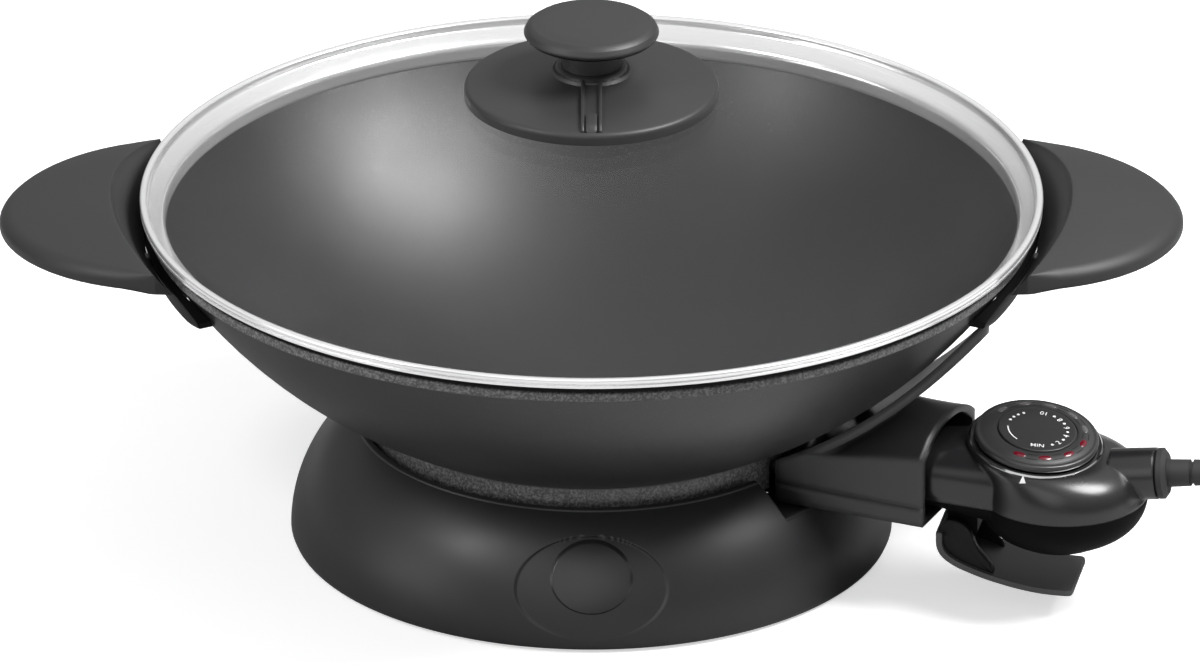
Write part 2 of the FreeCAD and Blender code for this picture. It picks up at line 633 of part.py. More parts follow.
def tongue(short):
    """Prism of the tongue's outline in the guard's frame, drawn in by short all round."""
    tip = RIM_R - SHIELD_SHORT - short
    half = ((GUARD_START + 1, GUARD_HALF), (GUARD_START + 24, GUARD_HALF - 0.6),
            (tip - 31, GUARD_HALF - 3.2),
            (tip - 15, GUARD_HALF - 8.0), (tip - 5, GUARD_HALF - 15.5))
    outline = [V(u, w - short, 0) for u, w in half] + [V(tip, 0, 0)]
    outline += [V(u, short - w, 0) for u, w in reversed(half)]
    curve = Part.BSplineCurve()
    curve.interpolate(outline)
    face = Part.Face(Part.Wire([curve.toShape(), line(outline[-1], outline[0])]))
    return placed(face.extrude(V(0, 0, FAR)), GUARD)


def shield():
    """Tongue that follows the bowl above the guard, with a bead round its edge."""
    under = BALL_R + AIR_GAP
    low_half = box(-FAR, FAR, -FAR, FAR, 0, SADDLE_LOW - RUN_GAP * 8)
    plate = tongue(0).common(ball(under + SHIELD_T).cut(ball(under)))
    bead = tongue(0).common(ball(under + SHIELD_T + LIP_PROUD).cut(ball(under + SHIELD_T / 2)))
    return plate.fuse(bead.cut(tongue(LIP_W))).common(low_half).removeSplitter()


def guard_shell():
    outer = placed(guard_form(0, GUARD_START, MOUTH_U), GUARD)
    inner = placed(guard_form(GUARD_WALL, GUARD_START - 6, MOUTH_U + 4), GUARD)
    skin = shield()
    shell = outer.cut(inner).fuse(skin).cut(ball(BALL_R + AIR_GAP))
    throat = placed(box(GUARD_START - 5, 132, -GUARD_HALF + GUARD_WALL, GUARD_HALF - GUARD_WALL,
                        GUARD_LOW + GUARD_WALL, 57), GUARD)
    well_room = placed(box(GUARD_START - 5, WELL_END + 1.5, -WELL_HALF - 1.5, WELL_HALF + 1.5,
                           GUARD_LOW + GUARD_WALL, 64), GUARD)
    return shell.cut(throat).cut(well_room)


def guard_post_ring(z0, z1, radius, wall_to):
    """Eye round each screw post, joined to the guard's side wall."""
    eyes = []
    for side in (-1, 1):
        eye = cylinder(radius, V(POST_U, side * POST_W, z0), V(POST_U, side * POST_W, z1))
        web = box(POST_U - radius, POST_U + radius, min(side * POST_W, side * wall_to),
                  max(side * POST_W, side * wall_to), z0, z1)
        eyes.append(fuse([eye, web]))
    return placed(Part.makeCompound(eyes), GUARD)


def probe_guard_upper(shell):
    above = box(-FAR, FAR, -FAR, FAR, GUARD_SEAM, FAR)
    eyes = guard_post_ring(GUARD_SEAM, GUARD_SEAM + 3, POST_R + EYE_WALL, GUARD_HALF - 1)
    posts = [placed(cylinder(POST_R + 0.1, V(POST_U, side * POST_W, 40),
                             V(POST_U, side * POST_W, 90)), GUARD) for side in (-1, 1)]
    return shell.common(above).fuse(eyes).cut(Part.makeCompound(posts)).removeSplitter()


def probe_guard_lower(shell):
    below = box(-FAR, FAR, -FAR, FAR, 0, GUARD_SEAM)
    eyes = guard_post_ring(GUARD_LOW + 1, GUARD_SEAM, POST_R, GUARD_HALF - 1)
    holes = [placed(cylinder(radius, V(POST_U, side * POST_W, z0), V(POST_U, side * POST_W, z1)), GUARD)
             for side in (-1, 1) for radius, z0, z1 in ((1.6, 30, 60), (3.6, 30, GUARD_LOW + 2))]
    return shell.common(below).fuse(eyes).cut(Part.makeCompound(holes)).removeSplitter()


def guard_screws():
    screws = []
    for side in (-1, 1):
        at = V(POST_U, side * POST_W, GUARD_LOW)
        screws.append(fuse([cylinder(3.2, at + V(0, 0, 0.3), at + V(0, 0, 2.0)),
                            cylinder(1.6, at + V(0, 0, 1.5), at + V(0, 0, 17))]))
    return placed(Part.makeCompound(screws), GUARD)


# ---------- handles ----------
def handle_dome(sink):
    return Part.makeSphere(HANDLE_BALL_R - sink, V(HANDLE_BALL_AT, 0, HANDLE_CROWN - HANDLE_BALL_R))


def paddle():
    """Leaf with a domed top and a parallel underside, soft all round its edge."""
    outline = Part.Ellipse(V(0, 0, 0), HANDLE_REACH, HANDLE_HALF).toShape()
    face = Part.Face(Part.Wire([outline]))
    face.translate(V(HANDLE_AT, 0, 0))
    leaf = face.extrude(V(0, 0, 2 * RIM_Z)).common(handle_dome(0).cut(handle_dome(HANDLE_T)))
    around = [e for e in leaf.Edges if e.Length > 100 and e.CenterOfMass.z > RIM_Z - 20]
    return leaf.makeFillet(HANDLE_EDGE, around)


def saddle():
    """Band that hugs the bowl under its rim. Seen from the side it is an ellipse whose foot
    is cut level."""
    half = SADDLE_R * math.sin(math.radians(SADDLE_SPAN / 2))
    band = lathe(rz(RIM_R - 26, LEDGE_Z + 9), rz(RIM_R - 26, SADDLE_LOW), rz(SADDLE_R - 8, SADDLE_LOW),
                 arc(rz(SADDLE_R - 8, SADDLE_LOW), rz(SADDLE_R - 4.6, SADDLE_LOW + 2.2),
                     rz(SADDLE_R - 3, SADDLE_LOW + 6)),
                 rz(SADDLE_R, LEDGE_Z + 9), angle=SADDLE_SPAN)
    side_view = Part.Ellipse(V(0, 0, 0), half, SADDLE_HIGH).toShape()
    side_view.rotate(V(0, 0, 0), V(1, 0, 0), 90)
    side_view.rotate(V(0, 0, 0), UP, 90)
    side_view.translate(V(0, 0, SADDLE_MID))
    window = Part.Face(Part.Wire([side_view])).extrude(V(2 * RIM_R, 0, 0))
    return turned(band, -SADDLE_SPAN / 2).common(window)


def crescent():
    """Room inside the paddle's inner edge: an oblique cone from the ledge up to the
    crescent on top."""
    low = Part.makeCircle(LEDGE_R, V(0, 0, LEDGE_Z), UP)
    centre = RIM_R + CRESCENT_REACH - CRESCENT_R
    high = Part.makeCircle(CRESCENT_R, V(centre, 0, HANDLE_CROWN), UP)
    return Part.makeLoft([Part.Wire([low]), Part.Wire([high])], True, True)


def right_handle():
    """Domed paddle on a saddle that hugs the bowl."""
    web = lathe(rz(RIM_R - 26, SADDLE_LOW + 1), rz(SADDLE_R - 4, SADDLE_LOW + 1),
                rz(SADDLE_R + 15, LEDGE_Z + 11),
                rz(SADDLE_R + 15, HANDLE_CROWN), rz(RIM_R - 26, HANDLE_CROWN), angle=40)
    web = turned(web, -20).common(handle_dome(HANDLE_T / 2))
    shells = []
    for side in (-1, 1):
        at = V(LUG_AT, side * LUG_Y, SADDLE_LOW + 0.6)
        shells.append(cylinder(LUG_HALF + LUG_SKIN, at, V(at.x, at.y, LEDGE_Z - 1)))
    inner = box(-2 * RIM_R, HANDLE_AT - 25, -2 * RIM_R, 2 * RIM_R, 0, 2 * RIM_Z)
    rim = cylinder(RIM_R + 0.6, V(0, 0, RIM_Z - BEAD_H - 0.6), V(0, 0, HANDLE_CROWN + 20))
    solid = None
    for piece in [saddle(), web, paddle()] + shells:
        piece = piece.cut(inner).cut(ball(BALL_R + 0.5)).cut(crescent()).cut(rim)
        solid = piece if solid is None else solid.fuse(piece)
    solid = solid.cut(lug(REST_GAP))
    holes = []
    for side in (-1, 1):
        at = V(LUG_AT, side * LUG_Y, LEDGE_Z)
        holes.append(cylinder(1.6, at - V(0, 0, 6), at + V(0, 0, 1)))
        holes.append(cylinder(HEAD_R + 0.6, at, at + V(0, 0, 12)))
    return solid.cut(Part.makeCompound(holes))


def handle_screws():
    screws = []
    for side in (-1, 1):
        at = V(LUG_AT, side * LUG_Y, LEDGE_Z)
        head = cylinder(HEAD_R, at, at + V(0, 0, HEAD_H))
        head = head.makeFillet(1.0, [e for e in head.Edges if e.Closed and e.CenterOfMass.z > LEDGE_Z + 1])
        screw = fuse([head, cylinder(1.6, V(at.x, at.y, LUG_LOW + 1.5), at + V(0, 0, 0.5))])
        screws += [screw, turned(screw, 180)]
    return Part.makeCompound(screws)


# ---------- lid ----------
def glass_profile_z(radius, at):
    return DOME_Z + math.sqrt(radius ** 2 - at ** 2)


def lid_glass():
    inside_rim = cylinder(GLASS_EDGE_R, V(0, 0, RIM_Z), V(0, 0, APEX_Z + 5))
    glass = dome_ball(DOME_R).common(inside_rim).cut(dome_ball(DOME_R - GLASS_T))
    hub = cylinder(HUB_HOLE_R, V(0, 0, APEX_Z - 20), V(0, 0, APEX_Z + 20))
    hole = cylinder(STEAM_HOLE_R, V(STEAM_HOLE_AT, 0, APEX_Z - 20), V(STEAM_HOLE_AT, 0, APEX_Z + 20))
    return glass.cut(Part.makeCompound([hub] + ring_of(hole, STEAM_HOLES, 45)))


def lid_rim():
    """Steel band rolled round the glass edge, with a flange that drops inside the bowl."""
    seat = RIM_Z + REST_GAP
    glass_low = glass_profile_z(DOME_R - GLASS_T, GLASS_EDGE_R)
    lip_r = LID_R - 6.5 * STEEL_T
    band = lathe(rz(FLANGE_R - FLANGE_TAPER, FLANGE_LOW), rz(FLANGE_R, seat), rz(RIM_R + 0.4, seat),
                 rz(RIM_R + 1.6, SKIRT_Z), rz(LID_R, SKIRT_Z), rz(LID_R, LID_TOP - 0.6),
                 rz(LID_R - 0.9, LID_TOP + 0.4), rz(lip_r, glass_profile_z(DOME_R, lip_r) + STEEL_T),
                 rz(lip_r, glass_profile_z(DOME_R, lip_r)),
                 rz(GLASS_EDGE_R, glass_profile_z(DOME_R, GLASS_EDGE_R)),
                 rz(GLASS_EDGE_R, glass_low), rz(RIM_R, seat + STEEL_T),
                 rz(FLANGE_R - STEEL_T, seat + STEEL_T),
                 rz(FLANGE_R - FLANGE_TAPER - STEEL_T, FLANGE_LOW))
    return band.cut(lid_glass())


def vent_disc():
    """Low dome that turns over the steam holes, with a radial grip ridge."""
    low = glass_profile_z(DOME_R, DISC_R) + REST_GAP + 0.05
    edge_top = low + DISC_EDGE
    hub_top = NECK_Z - REST_GAP
    bore = SPIGOT_R + RUN_GAP
    mid_r = (DISC_R + HUB_R) / 2
    flare_r = HUB_R + 6.5
    rise = hub_top - edge_top - 6.0      # of the dome, up to where the hub flares out of it
    dome = arc(rz(DISC_R - 1.6, edge_top), rz(mid_r, edge_top + rise * 0.72), rz(flare_r, edge_top + rise))
    flare = arc(rz(flare_r, edge_top + rise), rz(HUB_R + 1.6, edge_top + rise + 1.9),
                rz(HUB_R, hub_top - 0.8))
    profile = [rz(bore, hub_top), rz(bore, APEX_Z + 0.4), rz(bore + 4, APEX_Z + 0.4),
               rz(bore + 6, edge_top + rise - DISC_WALL + 0.2), rz(flare_r, edge_top + rise - DISC_WALL),
               rz(mid_r, edge_top + rise * 0.7 - DISC_WALL), rz(DISC_R - 4.5, edge_top - DISC_WALL),
               rz(DISC_R - 2.2, low), rz(DISC_R - 0.5, low), rz(DISC_R, low + 0.8),
               rz(DISC_R, edge_top - 1.6), dome, flare, rz(HUB_R - 1.3, hub_top)]
    disc = lathe(*profile)
    rib = lathe(rz(SHUTTER_OUT - 2.5, glass_profile_z(DOME_R, SHUTTER_OUT) + 0.4 + SHUTTER_T),
                rz(SHUTTER_OUT - 1.0, glass_profile_z(DOME_R, SHUTTER_OUT) + 0.4 + SHUTTER_T),
                rz(SHUTTER_OUT - 1.0, edge_top + 1.0), rz(SHUTTER_OUT - 2.5, edge_top + 1.0))
    rib = rib.cut(dome_ball(DOME_R + 0.4 + SHUTTER_T))
    ends = -HUB_R - 1, 3.2 - DISC_R, 1.9 - DISC_R     # along the ridge: hub, top of its end, foot
    ridge = prism([V(-RIDGE_HALF, ends[0], hub_top - 0.5), V(-RIDGE_HALF, ends[1], edge_top + 3.4),
                   V(-RIDGE_HALF, ends[2], edge_top + 0.5), V(-RIDGE_HALF, ends[2], edge_top - 1.5),
                   V(-RIDGE_HALF, ends[0], edge_top + 2.5)], V(2 * RIDGE_HALF, 0, 0))
    half = RIDGE_HALF - RIDGE_WALL
    channel = prism([V(-half, ends[0] - 1, hub_top + 1), V(-half, ends[2] - 1, edge_top + 5.0),
                     V(-half, ends[2] - 1, edge_top + 1.0), V(-half, ends[1] + 4, edge_top + 1.6),
                     V(-half, ends[0] - 1, edge_top + rise + 0.8)], V(2 * half, 0, 0))
    nub = prism([V(-NUB_HALF, ends[1] + 9, edge_top + 3.9), V(-NUB_HALF, ends[1] - 0.3, edge_top + 3.1),
                 V(-NUB_HALF, ends[2], edge_top + 1.2), V(-NUB_HALF, ends[2], edge_top - 0.6),
                 V(-NUB_HALF, ends[1] + 9, edge_top + 0.4)], V(2 * NUB_HALF, 0, 0))
    nub = nub.makeFillet(0.9, [e for e in nub.Edges if e.CenterOfMass.z > edge_top + 1.5
                               and abs(e.tangentAt(e.FirstParameter).z) < 0.9])
    disc = fuse([disc.cut(channel), rib, ridge.cut(channel), nub])
    return disc.cut(cylinder(bore, V(0, 0, APEX_Z - 20), V(0, 0, NECK_Z + 20)))


def vent_shutter():
    """Slotted ring just above the glass that covers or frees the steam holes."""
    low, high = DOME_R + 0.4, DOME_R + 0.4 + SHUTTER_T
    foot, head = APEX_Z - 20, APEX_Z + 20
    flat = lathe(rz(SHUTTER_IN, foot), rz(SHUTTER_OUT, foot), rz(SHUTTER_OUT, head), rz(SHUTTER_IN, head))
    ring = flat.common(dome_ball(high)).cut(dome_ball(low))
    slot = fuse([turned(cylinder(STEAM_HOLE_R + 0.5, V(STEAM_HOLE_AT, 0, foot),
                                 V(STEAM_HOLE_AT, 0, head)), a)
                 for a in (-6, 0, 6)])
    return ring.cut(Part.makeCompound(ring_of(slot, STEAM_HOLES, 45 + 22)))


def knob_neck():
    """Bush under the knob: its spigot carries the vent disc on the glass."""
    neck = lathe(rz(KNOB_SCREW_R, APEX_Z - 3), rz(SPIGOT_R, APEX_Z - 3), rz(SPIGOT_R, NECK_Z),
                 rz(NECK_R, NECK_Z), rz(NECK_R, KNOB_LOW), rz(KNOB_SCREW_R, KNOB_LOW))
    return neck.cut(dome_ball(DOME_R))


def knob_base():
    top = KNOB_WIDE_Z - 1.6
    return lathe(rz(KNOB_SCREW_R, KNOB_LOW), rz(NECK_R + 1.2, KNOB_LOW),
                 arc(rz(NECK_R + 1.2, KNOB_LOW), rz(20.0, KNOB_LOW + 2.4), rz(KNOB_R - 1.4, top)),
                 rz(KNOB_SCREW_R, top))


def lid_knob():
    low = KNOB_WIDE_Z - 1.6
    edge_r, edge_z = KNOB_R - KNOB_SHOULDER, KNOB_WIDE_Z + 0.7 * CROWN_H
    side = arc(rz(KNOB_R - 0.9, low), rz(KNOB_R - 0.2, KNOB_WIDE_Z - 0.9), rz(KNOB_R, KNOB_WIDE_Z))
    shoulder = arc(rz(KNOB_R, KNOB_WIDE_Z), rz(KNOB_R - 0.3 * KNOB_SHOULDER, KNOB_WIDE_Z + 0.45 * CROWN_H),
                   rz(edge_r, edge_z))
    drop = KNOB_TOP - edge_z
    crown_r = (edge_r ** 2 + drop ** 2) / (2 * drop)
    crown = Part.makeSphere(crown_r, V(0, 0, KNOB_TOP - crown_r))
    knob = lathe(rz(0, low), side, shoulder, rz(edge_r, KNOB_TOP + 1), rz(0, KNOB_TOP + 1)).common(crown)
    return knob.cut(cylinder(KNOB_SCREW_R, V(0, 0, low - 1), V(0, 0, low + 3)))


def knob_washer():
    under = glass_profile_z(DOME_R - GLASS_T, 0)
    ring = lathe(rz(KNOB_SCREW_R, under - WASHER_T), rz(WASHER_R, under - WASHER_T),
                 rz(WASHER_R, under + 1), rz(KNOB_SCREW_R, under + 1))
    return ring.common(dome_ball(DOME_R - GLASS_T))


def knob_screw():
    under = glass_profile_z(DOME_R - GLASS_T, 0) - WASHER_T
    head = cylinder(5.0, V(0, 0, under - 2.6), V(0, 0, under))
    head = head.makeFillet(1.4, [e for e in head.Edges if e.Closed and e.CenterOfMass.z < under - 2])
    return fuse([head, cylinder(KNOB_SCREW_R, V(0, 0, under - 1), V(0, 0, KNOB_WIDE_Z + 1.35))])


# ---------- probe ----------
def rounded_section(half, low, high, radius):
    """Closed wire in the YZ plane with rounded corners."""
    corners = ((half, high), (-half, high), (-half, low), (half, low))
    points = []
    for i, (y, z) in enumerate(corners):
        sy, sz = (1 if y > 0 else -1), (1 if z == high else -1)
        a = V(0, y, z - sz * radius)
        b = V(0, y - sy * radius, z)
        k = radius * (1 - math.sqrt(0.5))
        m = V(0, y - sy * k, z - sz * k)
        points.append((a, m, b) if i % 2 == 0 else (b, m, a))
    edges = []
    for i in range(4):
        a, m, b = points[i]
        edges.append(arc(a, m, b))
        edges.append(line(b, points[(i + 1) % 4][0]))
    return Part.Wire(edges)


def neck_form(inset):
    """Neck from inside the guard, turning into the grip's direction."""
    start = rounded_section(NECK_HALF - inset, NECK_LOW + inset, NOSE_TOP - inset, 6.0 - inset)
    bend = rounded_section(NECK_HALF - inset, NECK_LOW + inset, NECK_TOP - inset, NECK_ROUND - inset)
    start.translate(V(NECK_START + inset * 0.6, 0, 0))
    bend.translate(V(MOUTH_U + 1, 0, 0))
    end = rounded_section(NECK_HALF + 4 - inset, 38.0 + inset, NECK_TOP + 1.0 - inset,
                          NECK_ROUND + 1.5 - inset)
    end.translate(V(NECK_JOIN, 0, 0))
    wires = [placed(start, GUARD), placed(bend, GUARD), placed(end, GRIP)]
    return Part.makeLoft(wires, True, True)


def bulb_form(inset):
    """Round body of the probe: circles that grow from the flat underside and close in
    again to the leaning platform under the dial."""
    rings = ((BULB_LOW, 44.0, 12.0), (BULB_LOW + 2.2, 44.4, 20.5), (BULB_LOW + 7.0, 45.2, 28.0),
             (BULB_LOW + 14.0, BULB_U, 32.8), (BULB_LOW + 21.8, BULB_U, BULB_R),
             (BULB_LOW + 29.0, BULB_U - 1.2, BULB_R - 0.9), (BULB_LOW + 34.0, BULB_U - 4.0, BULB_R - 2.9))
    wires = []
    for i, (z, u, radius) in enumerate(rings):
        lift = inset if i == 0 else inset * 0.4 if i == 1 else 0
        circle = Part.makeCircle(radius - inset, V(u, 0, z + lift), UP)
        wires.append(placed(Part.Wire([circle]), GRIP))
    lid = Part.makeCircle(PLATFORM_R - inset, V(0, 0, -inset), UP)
    wires.append(placed(Part.Wire([lid]), DIAL))
    return Part.makeLoft(wires, True, False)


def stub_form(radius, start):
    """Round stub that the cord's bushing sits on."""
    back = (STUB_END - start) / math.cos(math.radians(STUB_PITCH))
    return placed(cylinder(radius, V(0, 0, -back), V(0, 0, 0)), STUB)


def screw_places():
    return ((26.0, 17.0), (26.0, -17.0), (63.0, 0.0))


def housing():
    """The closed housing, hollow inside, before it is split at its seam."""
    block = CHEEK_OUT - CHEEK_T - 0.4
    hinge = box(HINGE_U - CHEEK_R, HINGE_U + CHEEK_R + 3, -block, block, HINGE_Z - CHEEK_R, NECK_LOW + 3)
    hinge = hinge.makeFillet(3.5, [e for e in hinge.Edges if abs(e.tangentAt(e.FirstParameter).y) > 0.9
                                   and e.CenterOfMass.z < HINGE_Z])
    mouth_room = placed(box(100, MOUTH_U + 0.6, -40, 40, GUARD_LOW - 0.3, 60), GUARD)
    hinge = placed(hinge, GRIP).cut(mouth_room)
    outer = fuse([neck_form(0), bulb_form(0), stub_form(STUB_R, STUB_START), hinge])
    inner = neck_form(SHELL_WALL).fuse(bulb_form(SHELL_WALL))
    inner = inner.fuse(stub_form(CORD_R + 0.5, STUB_START - 6))
    pin = placed(cylinder(HINGE_PIN_R, V(HINGE_U, -LEVER_HALF, HINGE_Z),
                          V(HINGE_U, LEVER_HALF, HINGE_Z)), GRIP)
    shaft = placed(cylinder(SHAFT_R + RUN_GAP, V(0, 0, -8), V(0, 0, 5)), DIAL)
    hollow = outer.cut(inner)
    bosses = [placed(cylinder(4.2, V(u, w, BULB_LOW), V(u, w, 80)), GRIP) for u, w in screw_places()]
    rib = placed(box(32, 50, -7, 7, BULB_LOW + 1, 38), GRIP)
    for piece in bosses + [rib]:
        hollow = hollow.fuse(piece.common(outer))
    holes = [placed(cylinder(radius, V(u, w, z0), V(u, w, z1)), GRIP)
             for u, w in screw_places() for radius, z0, z1 in ((1.5, 20, 57), (3.3, 10, 37))]
    for hole in [pin, shaft, placed(nose_tail(), GUARD), spring_pocket()] + holes:
        hollow = hollow.cut(hole)
    return hollow


def probe_shell_upper(whole):
    return whole.common(box(0, FAR, -FAR, FAR, SEAM_Z, FAR))


def probe_shell_lower(whole):
    return whole.common(box(0, FAR, -FAR, FAR, 0, SEAM_Z))


def probe_screws():
    screws = [fuse([cylinder(2.9, V(u, w, 34.6), V(u, w, 37)), cylinder(1.5, V(u, w, 36), V(u, w, 56))])
              for u, w in screw_places()]
    return placed(Part.makeCompound(screws), GRIP)


def nose_tail():
    """Key of the nose block that passes through the neck's front wall."""
    return box(NECK_START - 0.5, NECK_START + 5, -NECK_HALF + 8, NECK_HALF - 8,
               NECK_LOW + SHELL_WALL + 4, NOSE_TOP - 5)


def probe_nose():
    """Insulating block at the probe's front that holds the rod and the contact sockets."""
    front = box(NOSE_START, NECK_START, -NECK_HALF + 2, NECK_HALF - 2, NECK_LOW - 0.4, NOSE_TOP - 4)
    front = front.makeFillet(2.0, [e for e in front.Edges if abs(e.tangentAt(e.FirstParameter).x) > 0.9])
    seats = [cylinder(radius, V(NOSE_START - 1, w, ELEMENT_Z), V(NECK_START, w, ELEMENT_Z))
             for radius, w in ((PIN_R + 1.2, -PIN_PITCH / 2), (PIN_R + 1.2, PIN_PITCH / 2), (ROD_R, 0))]
    return placed(fuse([front, nose_tail()]).cut(Part.makeCompound(seats)), GUARD)


def contact_sockets():
    sockets = []
    for side in (-1, 1):
        start = V(NOSE_START, side * PIN_PITCH / 2, ELEMENT_Z)
        end = V(NECK_START, side * PIN_PITCH / 2, ELEMENT_Z)
        sockets.append(cylinder(PIN_R + 1.2, start, end).cut(cylinder(PIN_R + RUN_GAP, start, end)))
    return placed(Part.makeCompound(sockets), GUARD)


def sensor_rod():
    rod = cylinder(ROD_R, V(ROD_TIP, 0, ELEMENT_Z), V(NECK_START, 0, ELEMENT_Z))
    tip = [e for e in rod.Edges if e.Closed and e.CenterOfMass.x < ROD_TIP + 1]
    return placed(rod.makeFillet(1.5, tip), GUARD)


def thermostat_switch():
    body = rounded_slab(31, 51, -9, 9, 38, 54, 2.0)
    snap = box(34, 42, -5, 5, 54, 55.2)
    return placed(fuse([body, snap]), GRIP)


def indicator_lamp():
    lamp = cylinder(2.2, V(47.5, -5, 54), V(47.5, -5, 59.5))
    return placed(lamp.makeFillet(1.5, [e for e in lamp.Edges if e.Closed and e.CenterOfMass.z > 58]), GRIP)


def cord_bushing():
    """Rubber bushing on the stub, and behind it the tapered strain relief."""
    bead = lathe(rz(0, 0), rz(STUB_R - 1.2, 0), rz(STUB_R - 0.2, 1.0), rz(STUB_R - 0.2, BUSH_LENGTH - 1.5),
                 rz(STUB_R - 2.2, BUSH_LENGTH), rz(0, BUSH_LENGTH))
    return placed(bead, STUB)


def strain_relief():
    length = RELIEF_LENGTH
    end_r = CORD_R + 0.6
    cone = lathe(rz(0, BUSH_LENGTH), rz(RELIEF_R, BUSH_LENGTH), rz(end_r, BUSH_LENGTH + length),
                 rz(0, BUSH_LENGTH + length))
    grooves = []
    for i in range(5):
        z = BUSH_LENGTH + 9 + 5.2 * i
        grooves.append(lathe(rz(end_r - 0.2, z), rz(RELIEF_R + 1, z), rz(RELIEF_R + 1, z + 1.6),
                             rz(end_r - 0.2, z + 1.6)))
    return placed(cone.cut(Part.makeCompound(grooves)), STUB)


def spring_pocket():
    """Room in the hinge block for the spring's coil and its leg."""
    coil = cylinder(3.7, V(HINGE_U, -SPRING_HALF - 0.5, HINGE_Z), V(HINGE_U, SPRING_HALF + 0.5, HINGE_Z))
    way = box(HINGE_U - 12, HINGE_U, -SPRING_HALF - 0.5, SPRING_HALF + 0.5, HINGE_Z - 12, HINGE_Z + 2)
    return placed(coil.fuse(way), GRIP)


def lever_spring():
    """Torsion spring round the hinge pin: its coil, drawn as a sleeve, and the leg that
    pushes the blade."""
    coil = cylinder(3.0, V(HINGE_U, -SPRING_HALF, HINGE_Z), V(HINGE_U, SPRING_HALF, HINGE_Z))
    coil = coil.cut(cylinder(HINGE_PIN_R + 0.3, V(HINGE_U, -9, HINGE_Z), V(HINGE_U, 9, HINGE_Z)))
    leg = cylinder(0.5, V(HINGE_U - 2.4, 0, HINGE_Z), V(LEVER_LINE[1][0] + LEVER_T / 2 + 0.1, 0, 28.4))
    return placed(coil.fuse(leg), GRIP)


def lever_pin():
    half = CHEEK_OUT - PIN_COVER
    return placed(cylinder(HINGE_PIN_R, V(HINGE_U, -half, HINGE_Z), V(HINGE_U, half, HINGE_Z)), GRIP)


# ---------- dial ----------
def dial_trim():
    ring = lathe(rz(PLATFORM_R - 2.6, SEAT_GAP), rz(PLATFORM_R - 0.6, SEAT_GAP),
                 rz(PLATFORM_R - 0.6, TRIM_T * 0.5), rz(PLATFORM_R - 1.2, TRIM_T),
                 rz(PLATFORM_R - 2.6, TRIM_T))
    return placed(ring, DIAL)


def dial_outline(lift=0.0):
    """Turned profile of the dial, raised or sunk by lift."""
    low = TRIM_T + REST_GAP
    high = low + DIAL_H
    return lathe(rz(0, low), rz(DIAL_R - 0.8, low),
                 arc(rz(DIAL_R - 0.8, low), rz(DIAL_R, low + 1.2 + lift),
                     rz(DIAL_R - 0.9, low + 2.4 + lift)),
                 arc(rz(DIAL_R - 0.9, low + 2.4 + lift), rz(21.0, high - 0.9 + lift),
                     rz(CAP_R + 1.0, high + lift)),
                 rz(0, high + lift))


def window_sector(angle):
    sector = lathe(rz(19.4, TRIM_T + DIAL_H * 0.45), rz(22.4, TRIM_T + DIAL_H * 0.45), rz(22.4, 12),
                   rz(19.4, 12), angle=12)
    return turned(sector, angle - 6)


def window_angles():
    return [WINDOW_FIRST + WINDOW_PITCH * i for i in range(WINDOW_COUNT)]


def dial_knob():
    high = TRIM_T + REST_GAP + DIAL_H
    knob = dial_outline()
    seat = cylinder(CAP_R, V(0, 0, high - CAP_T - 0.3), V(0, 0, high + 1))
    sectors = [window_sector(a) for a in window_angles()]
    shaft = cylinder(SHAFT_R, V(0, 0, 0), V(0, 0, TRIM_T + DIAL_H * 0.6))
    under = lathe(rz(SHAFT_R + 4, 0), rz(17.5, 0), rz(17.5, TRIM_T + 2.2), rz(SHAFT_R + 4, TRIM_T + 2.2))
    return placed(knob.cut(Part.makeCompound([seat, shaft, under] + sectors)), DIAL)


def dial_cap():
    high = TRIM_T + REST_GAP + DIAL_H - 0.3
    return placed(cylinder(CAP_R, V(0, 0, high - CAP_T), V(0, 0, high)), DIAL)


def dial_windows():
    knob = dial_outline(0.15)
    return placed(Part.makeCompound([window_sector(a).common(knob) for a in window_angles()]), DIAL)


def dial_shaft():
    shaft = cylinder(SHAFT_R, V(0, 0, -SHAFT_LENGTH), V(0, 0, TRIM_T + DIAL_H * 0.6))
    return placed(shaft, DIAL)


